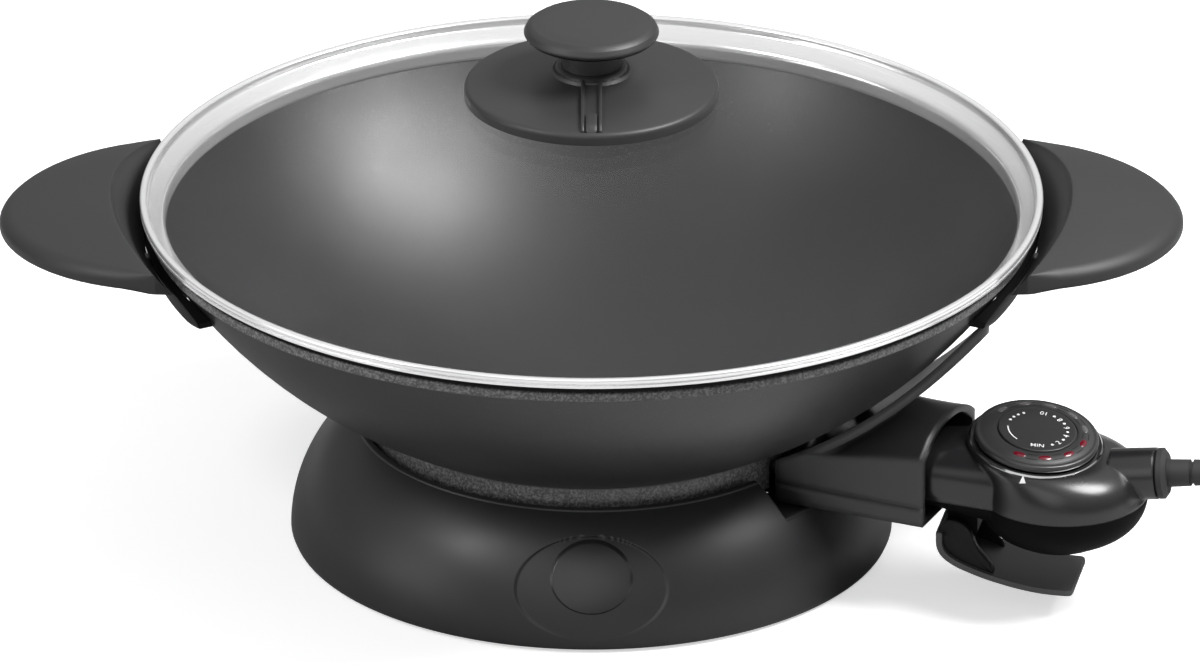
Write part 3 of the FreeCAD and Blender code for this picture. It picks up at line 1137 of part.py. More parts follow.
# ---------- lever ----------
def release_lever():
    """Bent blade under the grip, with two cheeks on the hinge pin."""
    low = [V(u, 0, z - LEVER_T / 2) for u, z in LEVER_LINE[1:]]
    low.insert(0, V(LEVER_LINE[0][0] - LEVER_T / 2, 0, LEVER_LINE[0][1]))
    low[1] = V(LEVER_LINE[1][0] - LEVER_T / 2, 0, LEVER_LINE[1][1])
    low[2] = V(LEVER_LINE[2][0] - LEVER_T * 0.4, 0, LEVER_LINE[2][1] - LEVER_T * 0.4)
    high = [V(u, 0, z + LEVER_T / 2) for u, z in LEVER_LINE]
    high[0] = V(LEVER_LINE[0][0] + LEVER_T / 2, 0, LEVER_LINE[0][1])
    high[1] = V(LEVER_LINE[1][0] + LEVER_T / 2, 0, LEVER_LINE[1][1])
    high[2] = V(LEVER_LINE[2][0] + LEVER_T * 0.4, 0, LEVER_LINE[2][1] + LEVER_T * 0.4)
    curves = []
    for points in (low, high):
        curve = Part.BSplineCurve()
        curve.interpolate(points)
        curves.append(curve.toShape())
    outline = Part.Wire([curves[0], line(low[-1], high[-1]), curves[1], line(high[0], low[0])])
    blade = Part.Face(outline).extrude(V(0, 2 * LEVER_HALF, 0))
    blade.translate(V(0, -LEVER_HALF, 0))
    tip = LEVER_LINE[-1][0]
    plan = rounded_slab(-20, tip, -LEVER_HALF, LEVER_HALF, 0, 60, LEVER_CORNER)
    pieces = [blade.common(plan)]
    for side in (-1, 1):
        y0, y1 = sorted((side * CHEEK_OUT, side * (CHEEK_OUT - CHEEK_T)))
        cheek = prism([V(LEVER_LINE[0][0] - LEVER_T / 2, y0, HINGE_Z),
                       V(LEVER_LINE[1][0] - LEVER_T / 2, y0, 26.5),
                       V(3.5, y0, 22.8), V(9, y0, 22.0), V(HINGE_U + CHEEK_R, y0, HINGE_Z)],
                      V(0, y1 - y0, 0))
        eye = cylinder(CHEEK_R, V(HINGE_U, y0, HINGE_Z), V(HINGE_U, y1, HINGE_Z))
        front = cylinder(CHEEK_R, V(2.2, y0, HINGE_Z), V(2.2, y1, HINGE_Z))
        pieces += [cheek, eye, front]
    half = CHEEK_OUT - PIN_COVER + 0.1
    bore = cylinder(HINGE_PIN_R + RUN_GAP, V(HINGE_U, -half, HINGE_Z), V(HINGE_U, half, HINGE_Z))
    return placed(fuse(pieces).cut(bore), GRIP)


# ---------- cord ----------
def relief_end():
    return STUB.multVec(V(0, 0, BUSH_LENGTH + RELIEF_LENGTH))


def tube_along(name, points, radius):
    """Straight runs joined by tangent arcs, each arc as large as its two runs allow."""
    points = [V(*p) for p in points]
    corners = []
    radii = []
    for a, b, c in zip(points, points[1:], points[2:]):
        before, after = (b - a), (c - b)
        turn = before.getAngle(after)
        cut = 0.45 * min(before.Length, after.Length)
        radii.append(round(cut / math.tan(turn / 2), 1))
        start = b - before.normalize() * cut
        end = b + after.normalize() * cut
        axis_in = (a - b).normalize()
        axis_out = (c - b).normalize()
        middle_dir = (axis_in + axis_out).normalize()
        radius_here = cut / math.tan(turn / 2)
        centre = b + middle_dir * (radius_here / math.cos(turn / 2))
        corners.append((start, centre - middle_dir * radius_here, end))
    edges = []
    last = points[0]
    for start, middle, end in corners:
        edges.append(line(last, start))
        edges.append(arc(start, middle, end))
        last = end
    edges.append(line(last, points[-1]))
    path = Part.Wire(edges)
    ring = Part.Wire([Part.makeCircle(radius, points[0], points[1] - points[0])])
    tube = path.makePipeShell([ring], True, True)
    print(name, "bend radii", radii, "length", round(path.Length, 1),
          "volume ratio", round(tube.Volume / (math.pi * radius ** 2 * path.Length), 4))
    return tube


def mains_cord():
    lead = STUB.multVec(V(0, 0, BUSH_LENGTH + RELIEF_LENGTH + CORD_LEAD))
    print("mains_cord starts", relief_end(), "first corner", lead)
    return tube_along("mains_cord", [tuple(relief_end()), tuple(lead)] + list(CORD_ROUTE), CORD_R)


def cord_tail():
    return tube_along("cord_tail", TAIL_ROUTE, CORD_R)


def coil_section(grow):
    """Profile of three turns: two side by side below and one in the dip above."""
    low_in, low_out = COIL_MEAN_R - 2 * CORD_R - grow, COIL_MEAN_R + 2 * CORD_R + grow
    step = 2 * CORD_R
    top = step + 2 * CORD_R + grow
    bottom = -min(grow, 0)
    return [rz(low_in + 2, bottom), rz(low_out - 2, bottom), rz(low_out, 2), rz(low_out, step - 1.5),
            rz(low_out - 3, step), rz(COIL_MEAN_R + CORD_R + grow, step + 1),
            rz(COIL_MEAN_R + CORD_R + grow, top - 2),
            rz(COIL_MEAN_R + CORD_R + grow - 2, top), rz(COIL_MEAN_R - CORD_R - grow + 2, top),
            rz(COIL_MEAN_R - CORD_R - grow, top - 2), rz(COIL_MEAN_R - CORD_R - grow, step + 1),
            rz(low_in + 3, step), rz(low_in, step - 1.5), rz(low_in, 2)]


def cord_tie():
    angle = math.degrees(TIE_W / COIL_MEAN_R)
    outer = lathe(*coil_section(0.0), angle=angle)
    inner = lathe(*coil_section(-TIE_T), angle=angle)
    tie = turned(outer.cut(inner), TIE_ANGLE)
    tie.translate(V(COIL_X, COIL_Y, 0))
    return tie


def cord_coil(tie):
    coil = lathe(*coil_section(0.0))
    coil.translate(V(COIL_X, COIL_Y, 0))
    return coil.cut(tie)


def plug_frame():
    end = V(*TAIL_ROUTE[-1])
    along = end - V(*TAIL_ROUTE[-2])
    flat = V(along.x, along.y, 0)
    return FreeCAD.Placement(V(end.x, end.y, PLUG_R), FreeCAD.Rotation(V(0, 0, 1), flat))


def mains_plug():
    """Round plug with an earth socket hole, lying on its side."""
    body = lathe(rz(0, 0), rz(CORD_R + 1.4, 0), rz(CORD_R + 2.6, PLUG_TAPER * 0.7), rz(14.0, PLUG_TAPER),
                 rz(PLUG_R, PLUG_TAPER + 5), rz(PLUG_R, PLUG_TAPER + PLUG_BODY - 1.5),
                 rz(PLUG_R - 1.5, PLUG_TAPER + PLUG_BODY), rz(0, PLUG_TAPER + PLUG_BODY))
    face = PLUG_TAPER + PLUG_BODY
    earth = cylinder(2.5, V(0, 10, face - 15), V(0, 10, face + 1))
    seats = [cylinder(PLUG_PIN_R, V(side * PLUG_PIN_PITCH / 2, 0, face - 6),
                      V(side * PLUG_PIN_PITCH / 2, 0, face + 1)) for side in (-1, 1)]
    return placed(body.cut(Part.makeCompound([earth] + seats)), plug_frame())


def plug_pins():
    face = PLUG_TAPER + PLUG_BODY
    pins = []
    for side in (-1, 1):
        pin = cylinder(PLUG_PIN_R, V(side * PLUG_PIN_PITCH / 2, 0, face - 6),
                       V(side * PLUG_PIN_PITCH / 2, 0, face + PLUG_PIN_LENGTH))
        tip = [e for e in pin.Edges if e.Closed and e.CenterOfMass.z > face + 1]
        pins.append(pin.makeFillet(1.6, tip))
    return placed(Part.makeCompound(pins), plug_frame())


# ---------- write every piece ----------
def pieces():
    guard = guard_shell()
    probe = housing()
    tie = cord_tie()
    right = right_handle()
    base = base_shell()
    return {
        "base_shell": base, "badge_disc": badge_disc(base), "base_feet": base_feet(),
        "base_cover": base_cover(), "cover_screws": cover_screws(),
        "lock_hook": lock_hook(), "lock_knob": lock_knob(),
        "wok_bowl": wok_bowl(), "heating_element": element_solid(),
        "terminal_pins": terminal_pins(), "terminal_beads": terminal_beads(),
        "terminal_plate": terminal_plate(), "lock_catch": lock_catch(), "catch_screws": catch_screws(),
        "probe_guard_upper": probe_guard_upper(guard), "probe_guard_lower": probe_guard_lower(guard),
        "guard_screws": guard_screws(), "right_handle": right, "left_handle": turned(right, 180),
        "handle_screws": handle_screws(),
        "lid_glass": lid_glass(), "lid_rim": lid_rim(), "knob_neck": knob_neck(),
        "knob_base": knob_base(), "lid_knob": lid_knob(), "knob_washer": knob_washer(),
        "knob_screw": knob_screw(), "vent_disc": vent_disc(), "vent_shutter": vent_shutter(),
        "probe_shell_upper": probe_shell_upper(probe), "probe_shell_lower": probe_shell_lower(probe),
        "probe_screws": probe_screws(), "probe_nose": probe_nose(),
        "contact_sockets": contact_sockets(), "sensor_rod": sensor_rod(),
        "thermostat_switch": thermostat_switch(), "indicator_lamp": indicator_lamp(),
        "dial_trim": dial_trim(), "dial_knob": dial_knob(), "dial_cap": dial_cap(),
        "dial_windows": dial_windows(), "dial_shaft": dial_shaft(),
        "lever_pin": lever_pin(), "release_lever": release_lever(), "lever_spring": lever_spring(),
        "cord_bushing": cord_bushing(), "strain_relief": strain_relief(),
        "mains_cord": mains_cord(), "cord_coil": cord_coil(tie), "cord_tie": tie,
        "cord_tail": cord_tail(), "mains_plug": mains_plug(), "plug_pins": plug_pins(),
    }


os.makedirs("parts", exist_ok=True)
for name, shape in pieces().items():
    shape.exportStep("parts/%s.step" % name)
    print("%-20s solids %d valid %s volume %.1f" % (name, len(shape.Solids), shape.isValid(), shape.Volume))
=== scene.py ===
"""Looks for the electric wok: cord, lights, camera and every visible surface.

Lengths in the formulas are millimetres. Everything is turned to metres when a mesh is made.
"""
import math

import bmesh
import bpy
import numpy as np
from bpy.props import FloatProperty, FloatVectorProperty, IntProperty, PointerProperty
from mathutils import Matrix, Vector


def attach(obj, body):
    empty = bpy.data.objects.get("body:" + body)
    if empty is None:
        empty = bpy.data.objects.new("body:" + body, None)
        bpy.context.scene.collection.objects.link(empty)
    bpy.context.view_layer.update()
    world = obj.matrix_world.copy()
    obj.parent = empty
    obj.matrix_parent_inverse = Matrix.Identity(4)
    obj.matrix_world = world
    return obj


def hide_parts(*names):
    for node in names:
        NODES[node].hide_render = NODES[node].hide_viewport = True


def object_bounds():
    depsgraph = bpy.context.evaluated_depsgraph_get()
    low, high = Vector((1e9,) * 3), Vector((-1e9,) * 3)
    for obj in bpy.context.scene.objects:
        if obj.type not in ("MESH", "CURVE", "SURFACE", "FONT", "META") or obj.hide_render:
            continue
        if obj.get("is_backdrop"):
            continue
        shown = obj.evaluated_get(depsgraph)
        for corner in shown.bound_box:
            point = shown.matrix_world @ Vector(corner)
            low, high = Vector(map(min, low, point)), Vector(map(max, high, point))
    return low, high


bl_info = {
    "name": "Electric wok looks",
    "version": (1, 0, 0),
    "blender": (4, 5, 0),
    "location": "View3D > Sidebar > Wok",
    "description": "Dresses the packed electric wok and sets its stage",
    "category": "Object",
}

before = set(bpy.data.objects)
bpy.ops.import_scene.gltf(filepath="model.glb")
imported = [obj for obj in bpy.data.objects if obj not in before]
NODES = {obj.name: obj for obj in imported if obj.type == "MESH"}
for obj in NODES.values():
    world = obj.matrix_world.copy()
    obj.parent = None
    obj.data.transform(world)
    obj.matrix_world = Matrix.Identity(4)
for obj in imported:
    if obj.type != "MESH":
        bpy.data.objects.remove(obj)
CAD_BOX = [list(map(float, corner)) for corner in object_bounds()]
MM = 0.001
ROUND = 2 * math.pi
QUARTER = math.pi / 2
SHARP = math.radians(35.0)         # edges steeper than this stay sharp

# ---- the maker's sizes that the looks share with the CAD model (mm, degrees) ----
RIM_Z = 139.0
BALL_R, BALL_Z = 207.5, 245.2      # the bowl's outer sphere
FOOT_R, FOOT_TOP = 83.0, 58.0      # inside of the foot ring, and the height where it ends
BEAD_Z = 134.6                     # foot of the bead round the bowl's rim
LID_R, LID_TOP = 180.0, 146.4
APEX_Z = 192.6                     # top of the glass
HUB_Z = APEX_Z + 9.8               # top of the vent disc's hub, where the neck starts
LEDGE_R, LEDGE_Z = 178.3, 131.0    # foot of the slope inside the handle's crescent
PROBE_AZ = -23.6
GRIP_YAW = 13.0
MOUTH_U = 155.0                    # the guard's mouth, from the bowl's axis

# ---- the view and its lights ----
TARGET = Vector((0.0034, 0.0, 0.0855))
VIEW_WIDTH = 0.479                 # metres across the picture at the target
SENSOR = 36.0
FLOOR_HALF = 60                    # metres
LAMPS = (                          # name, direction, metres away, metres across, watts
    ("key", (0.58, -0.10, 0.81), 2.2, 1.1, 62),
    ("second", (-0.63, -0.39, 0.67), 2.2, 0.45, 12),
    ("front", (-0.15, -0.86, 0.48), 2.4, 1.6, 6),
    ("left", (-0.93, -0.33, 0.15), 2.4, 1.3, 10),
)


# ---- frames of the guard, grip, dial and stub ----
def turn(degrees, axis="Z"):
    return Matrix.Rotation(math.radians(degrees), 4, axis)


def leaned(degrees, toward):
    """Rotation that tips +Z by some degrees towards a level direction."""
    return Matrix.Rotation(math.radians(degrees), 4, Vector((0, 0, 1)).cross(toward))


GUARD = turn(PROBE_AZ)
GRIP = Matrix.Translation(GUARD @ Vector((MOUTH_U, 0, 0))) @ turn(PROBE_AZ + GRIP_YAW)
DIAL = (Matrix.Translation(GRIP @ Vector((35.0, 0, 68.6)))
        @ leaned(10.4, turn(-58.0) @ Vector((1, 0, 0))))
STUB = GRIP @ Matrix.Translation((84.0, 0, 59.2)) @ turn(84.0, "Y")


# ---------- sizes and colours a user would change ----------
def tint(name, description, default):
    return FloatVectorProperty(name=name, description=description, subtype="COLOR", min=0, max=1,
                               default=default)


class WokLooks(bpy.types.PropertyGroup):
    """Colours and finishes."""
    cast: tint("Cast coating", "Colour of the bowl's coating", (0.014, 0.014, 0.015))
    base: tint("Base", "Colour of the base's plastic", (0.022, 0.022, 0.024))
    handle: tint("Handles", "Colour of the handles and knob", (0.026, 0.026, 0.027))
    probe: tint("Probe", "Colour of the probe's shells", (0.012, 0.012, 0.013))
    windows: tint("Windows", "Colour of the dial's windows", (0.12, 0.003, 0.012))
    background: FloatProperty(name="Background", description="Brightness behind the wok",
                              min=0, max=2, default=1.0)


class WokSizes(bpy.types.PropertyGroup):
    """Sizes that only the looks have."""
    cord: FloatProperty(name="Cord", description="Diameter of the mains cord",
                        subtype="DISTANCE", unit="LENGTH", min=0.004, max=0.012, default=0.008)
    elevation: FloatProperty(name="Elevation", description="Camera's angle above the table",
                             subtype="ANGLE", min=0, max=1.5, default=math.radians(24.3))
    distance: FloatProperty(name="Distance", description="Camera's distance from the wok",
                            subtype="DISTANCE", unit="LENGTH", min=1, max=12, default=10.0)
    turns: IntProperty(name="Coil turns", description="Turns in the coil of put-away cord",
                       min=1, max=8, default=3)


# ---------- materials ----------
def feed(tree, socket, value):
    """Link an output to a socket, or set the socket's own constant."""
    if isinstance(value, bpy.types.NodeSocket):
        tree.links.new(value, socket)
    else:
        socket.default_value = value


def node(tree, kind, **values):
    """New shader node with its inputs fed and its properties set."""
    made = tree.nodes.new("ShaderNode" + kind)
    for key, value in values.items():
        if key in made.inputs:
            feed(tree, made.inputs[key], value)
        else:
            setattr(made, key, value)
    return made


def ramp(tree, value, low, high, start=0.0, end=1.0):
    """A value's span from start to end, laid on low to high and held at both ends."""
    spans = {"From Min": start, "From Max": end, "To Min": low, "To Max": high}
    return node(tree, "MapRange", Value=value, **spans).outputs["Result"]


def combine(tree, operation, *values, kind="Math"):
    """First output of a math node over its inputs in order."""
    made = node(tree, kind, operation=operation)
    for socket, value in zip(made.inputs, values):
        feed(tree, socket, value)
    return made.outputs[0]


def mixed(tree, share, *shaders):
    """Output of a mix of two shaders."""
    mix = node(tree, "MixShader", Fac=share)
    for socket, shader in zip(mix.inputs[1:], shaders):
        tree.links.new(shader.outputs[0], socket)
    return mix.outputs["Shader"]


def bump(tree, height, strength, distance):
    made = node(tree, "Bump", Height=height, Strength=strength, Distance=distance)
    return made.outputs["Normal"]


def new_material(name):
    material = bpy.data.materials.new(name)
    material.use_nodes = True
    return material, material.node_tree, material.node_tree.nodes["Principled BSDF"]


def own_coords(tree):
    return node(tree, "TexCoord").outputs["Object"]


def noise(tree, coords, scale, detail=2.0, roughness=0.5):
    return node(tree, "TexNoise", Vector=coords, Scale=scale, Detail=detail,
                Roughness=roughness).outputs["Fac"]


def moulded(name, color, rough, grain=0.35, relief=0.05, mottling=0.08, specular=0.5,
            fleck_and_sparkle=0.0, edge=0.0):
    """Moulded or cast finish. A fine grain (mm) tips the normal, a slow mottling moves tone
    and roughness, and fleck adds bright dots to the colour, partly the coating's own dots and
    partly painted sparkle. edge rounds the shading of every edge over that many mm."""
    material, tree, shader = new_material(name)
    coords = own_coords(tree)
    slow = noise(tree, coords, 38.0, 3.0)
    fine = noise(tree, coords, 1000.0 / grain, 2.0, 0.6)
    tone = node(tree, "VectorMath", operation="SCALE", Vector=color,
                Scale=ramp(tree, slow, 1 - mottling, 1 + mottling)).outputs["Vector"]
    if fleck_and_sparkle:
        # bright dots in the colour: partly the coating's own, partly painted sparkle
        specks_and_sparkle = ramp(tree, noise(tree, coords, 1300.0, 1.0), 0.0, fleck_and_sparkle, 0.62, 0.80)
        tone = combine(tree, "ADD", tone, specks_and_sparkle, kind="VectorMath")
    bumped = node(tree, "Bump", Strength=relief, Distance=0.0002, Height=fine)
    if edge:
        rounded = node(tree, "Bevel", samples=4, Radius=edge * MM)
        feed(tree, bumped.inputs["Normal"], rounded.outputs["Normal"])
    gloss = ramp(tree, slow, rough - 0.05, rough + 0.05)
    for socket, value in (("Base Color", tone), ("Roughness", gloss),
                          ("Normal", bumped.outputs["Normal"]), ("Specular IOR Level", specular)):
        feed(tree, shader.inputs[socket], value)
    return material


def cast_coating(name, color):
    """Die-cast coating. On the bead and the foot ring it is left as cast: coarse, paler and
    full of bright dots, partly the bare casting's grain and partly painted sparkle."""
    material = moulded(name, color, 0.38, 0.45, 0.25, 0.10, 0.6, fleck_and_sparkle=0.05, edge=0.8)
    tree = material.node_tree
    base_color = tree.nodes["Principled BSDF"].inputs["Base Color"]
    coords = own_coords(tree)
    height = node(tree, "SeparateXYZ", Vector=coords).outputs["Z"]
    flat = combine(tree, "MULTIPLY", coords, (1, 1, 0), kind="VectorMath")
    radius = node(tree, "VectorMath", operation="LENGTH", Vector=flat).outputs["Value"]
    below = ramp(tree, height, 0, 1, FOOT_TOP * MM, (FOOT_TOP - 0.8) * MM)
    outside = ramp(tree, radius, 0, 1, (FOOT_R - 1) * MM, (FOOT_R + 1) * MM)
    bead = ramp(tree, height, 0, 1, BEAD_Z * MM, (BEAD_Z + 0.5) * MM)
    share = combine(tree, "MAXIMUM", combine(tree, "MULTIPLY", below, outside), bead)
    # bright dots on the bead and foot ring: the casting's pale grain and painted sparkle
    specks_and_sparkle = ramp(tree, noise(tree, coords, 900.0, 2.0, 0.7), 0.0495, 0.288, 0.42, 0.75)
    mix = node(tree, "Mix", data_type="RGBA")
    for key, value in (("Factor", share), ("A", base_color.links[0].from_socket), ("B", specks_and_sparkle)):
        feed(tree, mix.inputs[key], value)
    feed(tree, base_color, mix.outputs["Result"])
    return material


def steel(name, color, rough, brush=0.0, metallic=1.0):
    """Steel with a slow change of roughness. brush tips its normal, and under 1 metallic
    gives it the pale veil of a satin finish."""
    material, tree, shader = new_material(name)
    coords = own_coords(tree)
    shader.inputs["Base Color"].default_value = (*color, 1)
    shader.inputs["Metallic"].default_value = metallic
    spread = ramp(tree, noise(tree, coords, 160.0, 3.0), rough * 0.75, rough * 1.3)
    feed(tree, shader.inputs["Roughness"], spread)
    if brush:
        grain = bump(tree, noise(tree, coords, 1400.0, 1.0), brush, 0.0001)
        feed(tree, shader.inputs["Normal"], grain)
    return material


def clear_glass(name):
    """Thin clear glass: see-through, with a mirror whose share grows as the fourth power of
    the view's slant."""
    material, tree, shader = new_material(name)
    tree.nodes.remove(shader)
    waves = bump(tree, noise(tree, own_coords(tree), 14.0, 1.0), 0.004, 0.0005)
    through = node(tree, "BsdfTransparent", Color=(0.975, 0.975, 0.975, 1))
    mirror = node(tree, "BsdfGlossy", Roughness=0.03, Color=(1, 1, 1, 1), Normal=waves)
    slant = node(tree, "LayerWeight", Blend=0.5).outputs["Facing"]
    share = ramp(tree, combine(tree, "POWER", slant, 4.0), 0.006, 0.09)
    out = tree.nodes["Material Output"].inputs["Surface"]
    feed(tree, out, mixed(tree, share, through, mirror))
    return material


def dress(material, *names):
    """Put a material on CAD nodes that stay as they are."""
    for name in names:
        mesh = NODES[name].data
        mesh.materials.clear()
        mesh.materials.append(material)


# ---------- lines and grids ----------
def soft_line(corners, steps=7, closed=False):
    """Line through corners (x, y, ease), each eased by a parabola that starts and ends
    `ease` mm from it: p(t) = (1-t)^2 a + 2t(1-t) c + t^2 b."""
    table = np.array(corners, float)
    c, ease = table[:, :2], table[:, 2:3]
    back, ahead = np.roll(c, 1, 0) - c, np.roll(c, -1, 0) - c
    if not closed:
        back[0] = ahead[-1] = 0
    a, b = (c + ease * way / np.maximum(np.linalg.norm(way, axis=1, keepdims=True), 1e-9)
            for way in (back, ahead))
    t = np.linspace(0, 1, steps)[None, :, None]
    line = (1 - t) ** 2 * a[:, None] + 2 * t * (1 - t) * c[:, None] + t ** 2 * b[:, None]
    return line.reshape(-1, 2)


def arc(centre, radius, start, end, count):
    """Points of an arc: centre + radius (cos a, sin a), for a from start to end degrees."""
    a = np.radians(np.linspace(start, end, count))
    return np.stack([centre[0] + radius * np.cos(a), centre[1] + radius * np.sin(a)], 1)


def smooth(t):
    """Soft step: t^2 (3 - 2t) for t held between 0 and 1."""
    t = np.clip(t, 0, 1)
    return t * t * (3 - 2 * t)


def lathe(profile, steps):
    """Grid of a profile (r, z) turned about Z: (r cos a, r sin a, z)."""
    r, z = np.asarray(profile, float).T
    a = np.linspace(0, ROUND, steps, endpoint=False)[:, None]
    return np.stack([r * np.cos(a), r * np.sin(a), np.broadcast_to(z, (steps, len(z)))], 2)


def moved(grid, place):
    """The grid carried by a 4 x 4 matrix: M p + t."""
    matrix = np.array(place)
    return grid @ matrix[:3, :3].T + matrix[:3, 3]


# ---------- meshes ----------
def skin(grid, wrap_rows=True, wrap_columns=False, cap_rows=False):
    """Mesh of a grid of points in mm: one quad between neighbouring rows and columns. cap_rows
    closes the first and last row, each on its own middle. Points that fall together are
    merged and the faces are turned outwards."""
    rows, columns = grid.shape[:2]
    i = np.arange(rows if wrap_rows else rows - 1)[:, None]
    j = np.arange(columns if wrap_columns else columns - 1)[None, :]
    corner = lambda a, b: ((i + a) % rows * columns + (j + b) % columns).ravel()
    faces = np.stack([corner(0, 0), corner(1, 0), corner(1, 1), corner(0, 1)], 1).tolist()
    points = grid.reshape(-1, 3)
    if cap_rows:
        points = np.concatenate([points, grid[:1].mean(1), grid[-1:].mean(1)])
        ring = np.arange(columns)
        for middle, start in ((rows * columns, 0), (rows * columns + 1, (rows - 1) * columns)):
            fan = [0 * ring + middle, start + ring, start + np.roll(ring, -1)]
            faces += np.stack(fan, 1).tolist()
    return outward(points * MM, faces)


def outward(points, faces):
    """Mesh of points in metres with near points merged and its faces turned outwards."""
    mesh = bpy.data.meshes.new("part")
    mesh.from_pydata(points.tolist(), [], faces)
    tidy = bmesh.new()
    tidy.from_mesh(mesh)
    bmesh.ops.remove_doubles(tidy, verts=tidy.verts, dist=2e-6)
    bmesh.ops.recalc_face_normals(tidy, faces=tidy.faces)
    tidy.to_mesh(mesh)
    tidy.free()
    return mesh


def closed_bar(grid):
    """Mesh of a closed section carried along a path, with both ends capped."""
    return skin(grid, False, True, True)


def add_piece(name, meshes, material, body, slot, *hides):
    """One piece of several meshes, smooth with its sharp edges kept, on its body."""
    whole = bpy.data.meshes.new(name)
    tidy = bmesh.new()
    for mesh in meshes:
        tidy.from_mesh(mesh)
    tidy.to_mesh(whole)
    tidy.free()
    whole.shade_smooth()
    whole.set_sharp_from_angle(angle=SHARP)
    whole.materials.append(material)
    piece = add_object(name, whole)
    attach(piece, body)
    if hides:
        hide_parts(*hides)


def add_object(name, data):
    """New object in the scene."""
    made = bpy.data.objects.new(name, data)
    bpy.context.scene.collection.objects.link(made)
    return made


# ---------- operators ----------
class WOK_OT_stage(bpy.types.Operator):
    """Camera at the viewing angle, pale floor and soft studio light"""
    bl_idname = "wok.stage"
    bl_label = "Stage"

    def execute(self, context):
        scene = context.scene
        sizes = scene.wok_sizes
        camera = bpy.data.cameras.new("camera")
        holder = add_object("camera", camera)
        lean = sizes.elevation
        holder.location = TARGET + sizes.distance * Vector((0, -math.cos(lean), math.sin(lean)))
        holder.rotation_euler = (QUARTER - lean, 0, 0)
        camera.sensor_width = SENSOR
        camera.lens = SENSOR * sizes.distance / VIEW_WIDTH
        camera.clip_start = 1.0
        camera.clip_end = 100
        scene.camera = holder
        scene.view_settings.view_transform = "Standard"
        self.floor()
        self.world(scene)
        for lamp in LAMPS:
            self.lamp(*lamp)
        return {"FINISHED"}

    def direct(self, tree, path):
        """1 for what the camera sees, straight or through glass."""
        return combine(tree, "MAXIMUM", path["Is Camera Ray"], path["Is Transmission Ray"])

    def floor(self):
        """White table that still takes the shadow. Its own light fills in what the lamps
        leave for the camera. In mirrors it is dimmer, and the light that it throws back on
        the wok is weak."""
        mesh = bpy.data.meshes.new("floor")
        corners = np.array([(-1, -1, 0), (1, -1, 0), (1, 1, 0), (-1, 1, 0)]) * FLOOR_HALF
        mesh.from_pydata(corners.tolist(), [], [(0, 1, 2, 3)])
        material, tree, shader = new_material("floor")
        shader.inputs["Roughness"].default_value = 0.7
        shader.inputs["Specular IOR Level"].default_value = 0.0
        shader.inputs["Emission Color"].default_value = (1, 1, 1, 1)
        path = node(tree, "LightPath").outputs
        seen = self.direct(tree, path)
        for socket, camera, glossy, other in (("Base Color", 0.93, 0.60, 0.25),
                                              ("Emission Strength", 0.56, 0.0, 0.0)):
            unseen = ramp(tree, path["Is Glossy Ray"], other, glossy)
            feed(tree, shader.inputs[socket], ramp(tree, seen, unseen, camera))
        mesh.materials.append(material)
        add_object("floor", mesh)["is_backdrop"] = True

    def world(self, scene):
        """White to the camera and through glass. Mirrors see white above and a dimmer
        horizon, and dull surfaces are lit by a share of that."""
        world = bpy.data.worlds.new("world")
        scene.world = world
        world.use_nodes = True
        tree = world.node_tree
        plain = tree.nodes["Background"]
        plain.inputs["Color"].default_value = (1, 1, 1, 1)
        plain.inputs["Strength"].default_value = scene.wok_looks.background
        coords = node(tree, "TexCoord").outputs["Generated"]
        height = node(tree, "SeparateXYZ", Vector=coords).outputs["Z"]
        path = node(tree, "LightPath").outputs
        strength = combine(tree, "MULTIPLY", ramp(tree, height, 0.22, 1.0, 0.05, 0.75),
                           ramp(tree, path["Is Diffuse Ray"], 1.0, 0.42))
        soft = node(tree, "Background", Strength=strength)
        out = tree.nodes["World Output"].inputs["Surface"]
        feed(tree, out, mixed(tree, self.direct(tree, path), soft, plain))

    def lamp(self, name, toward, distance, size, power):
        """Round soft light that stands in a given direction from the wok and faces it."""
        light = bpy.data.lights.new(name, "AREA")
        light.shape = "DISK"
        light.size = size
        light.energy = power
        lamp = add_object(name, light)
        lamp.location = Vector(toward).normalized() * distance
        lamp.rotation_euler = (-Vector(toward)).to_track_quat("-Z", "Y").to_euler()


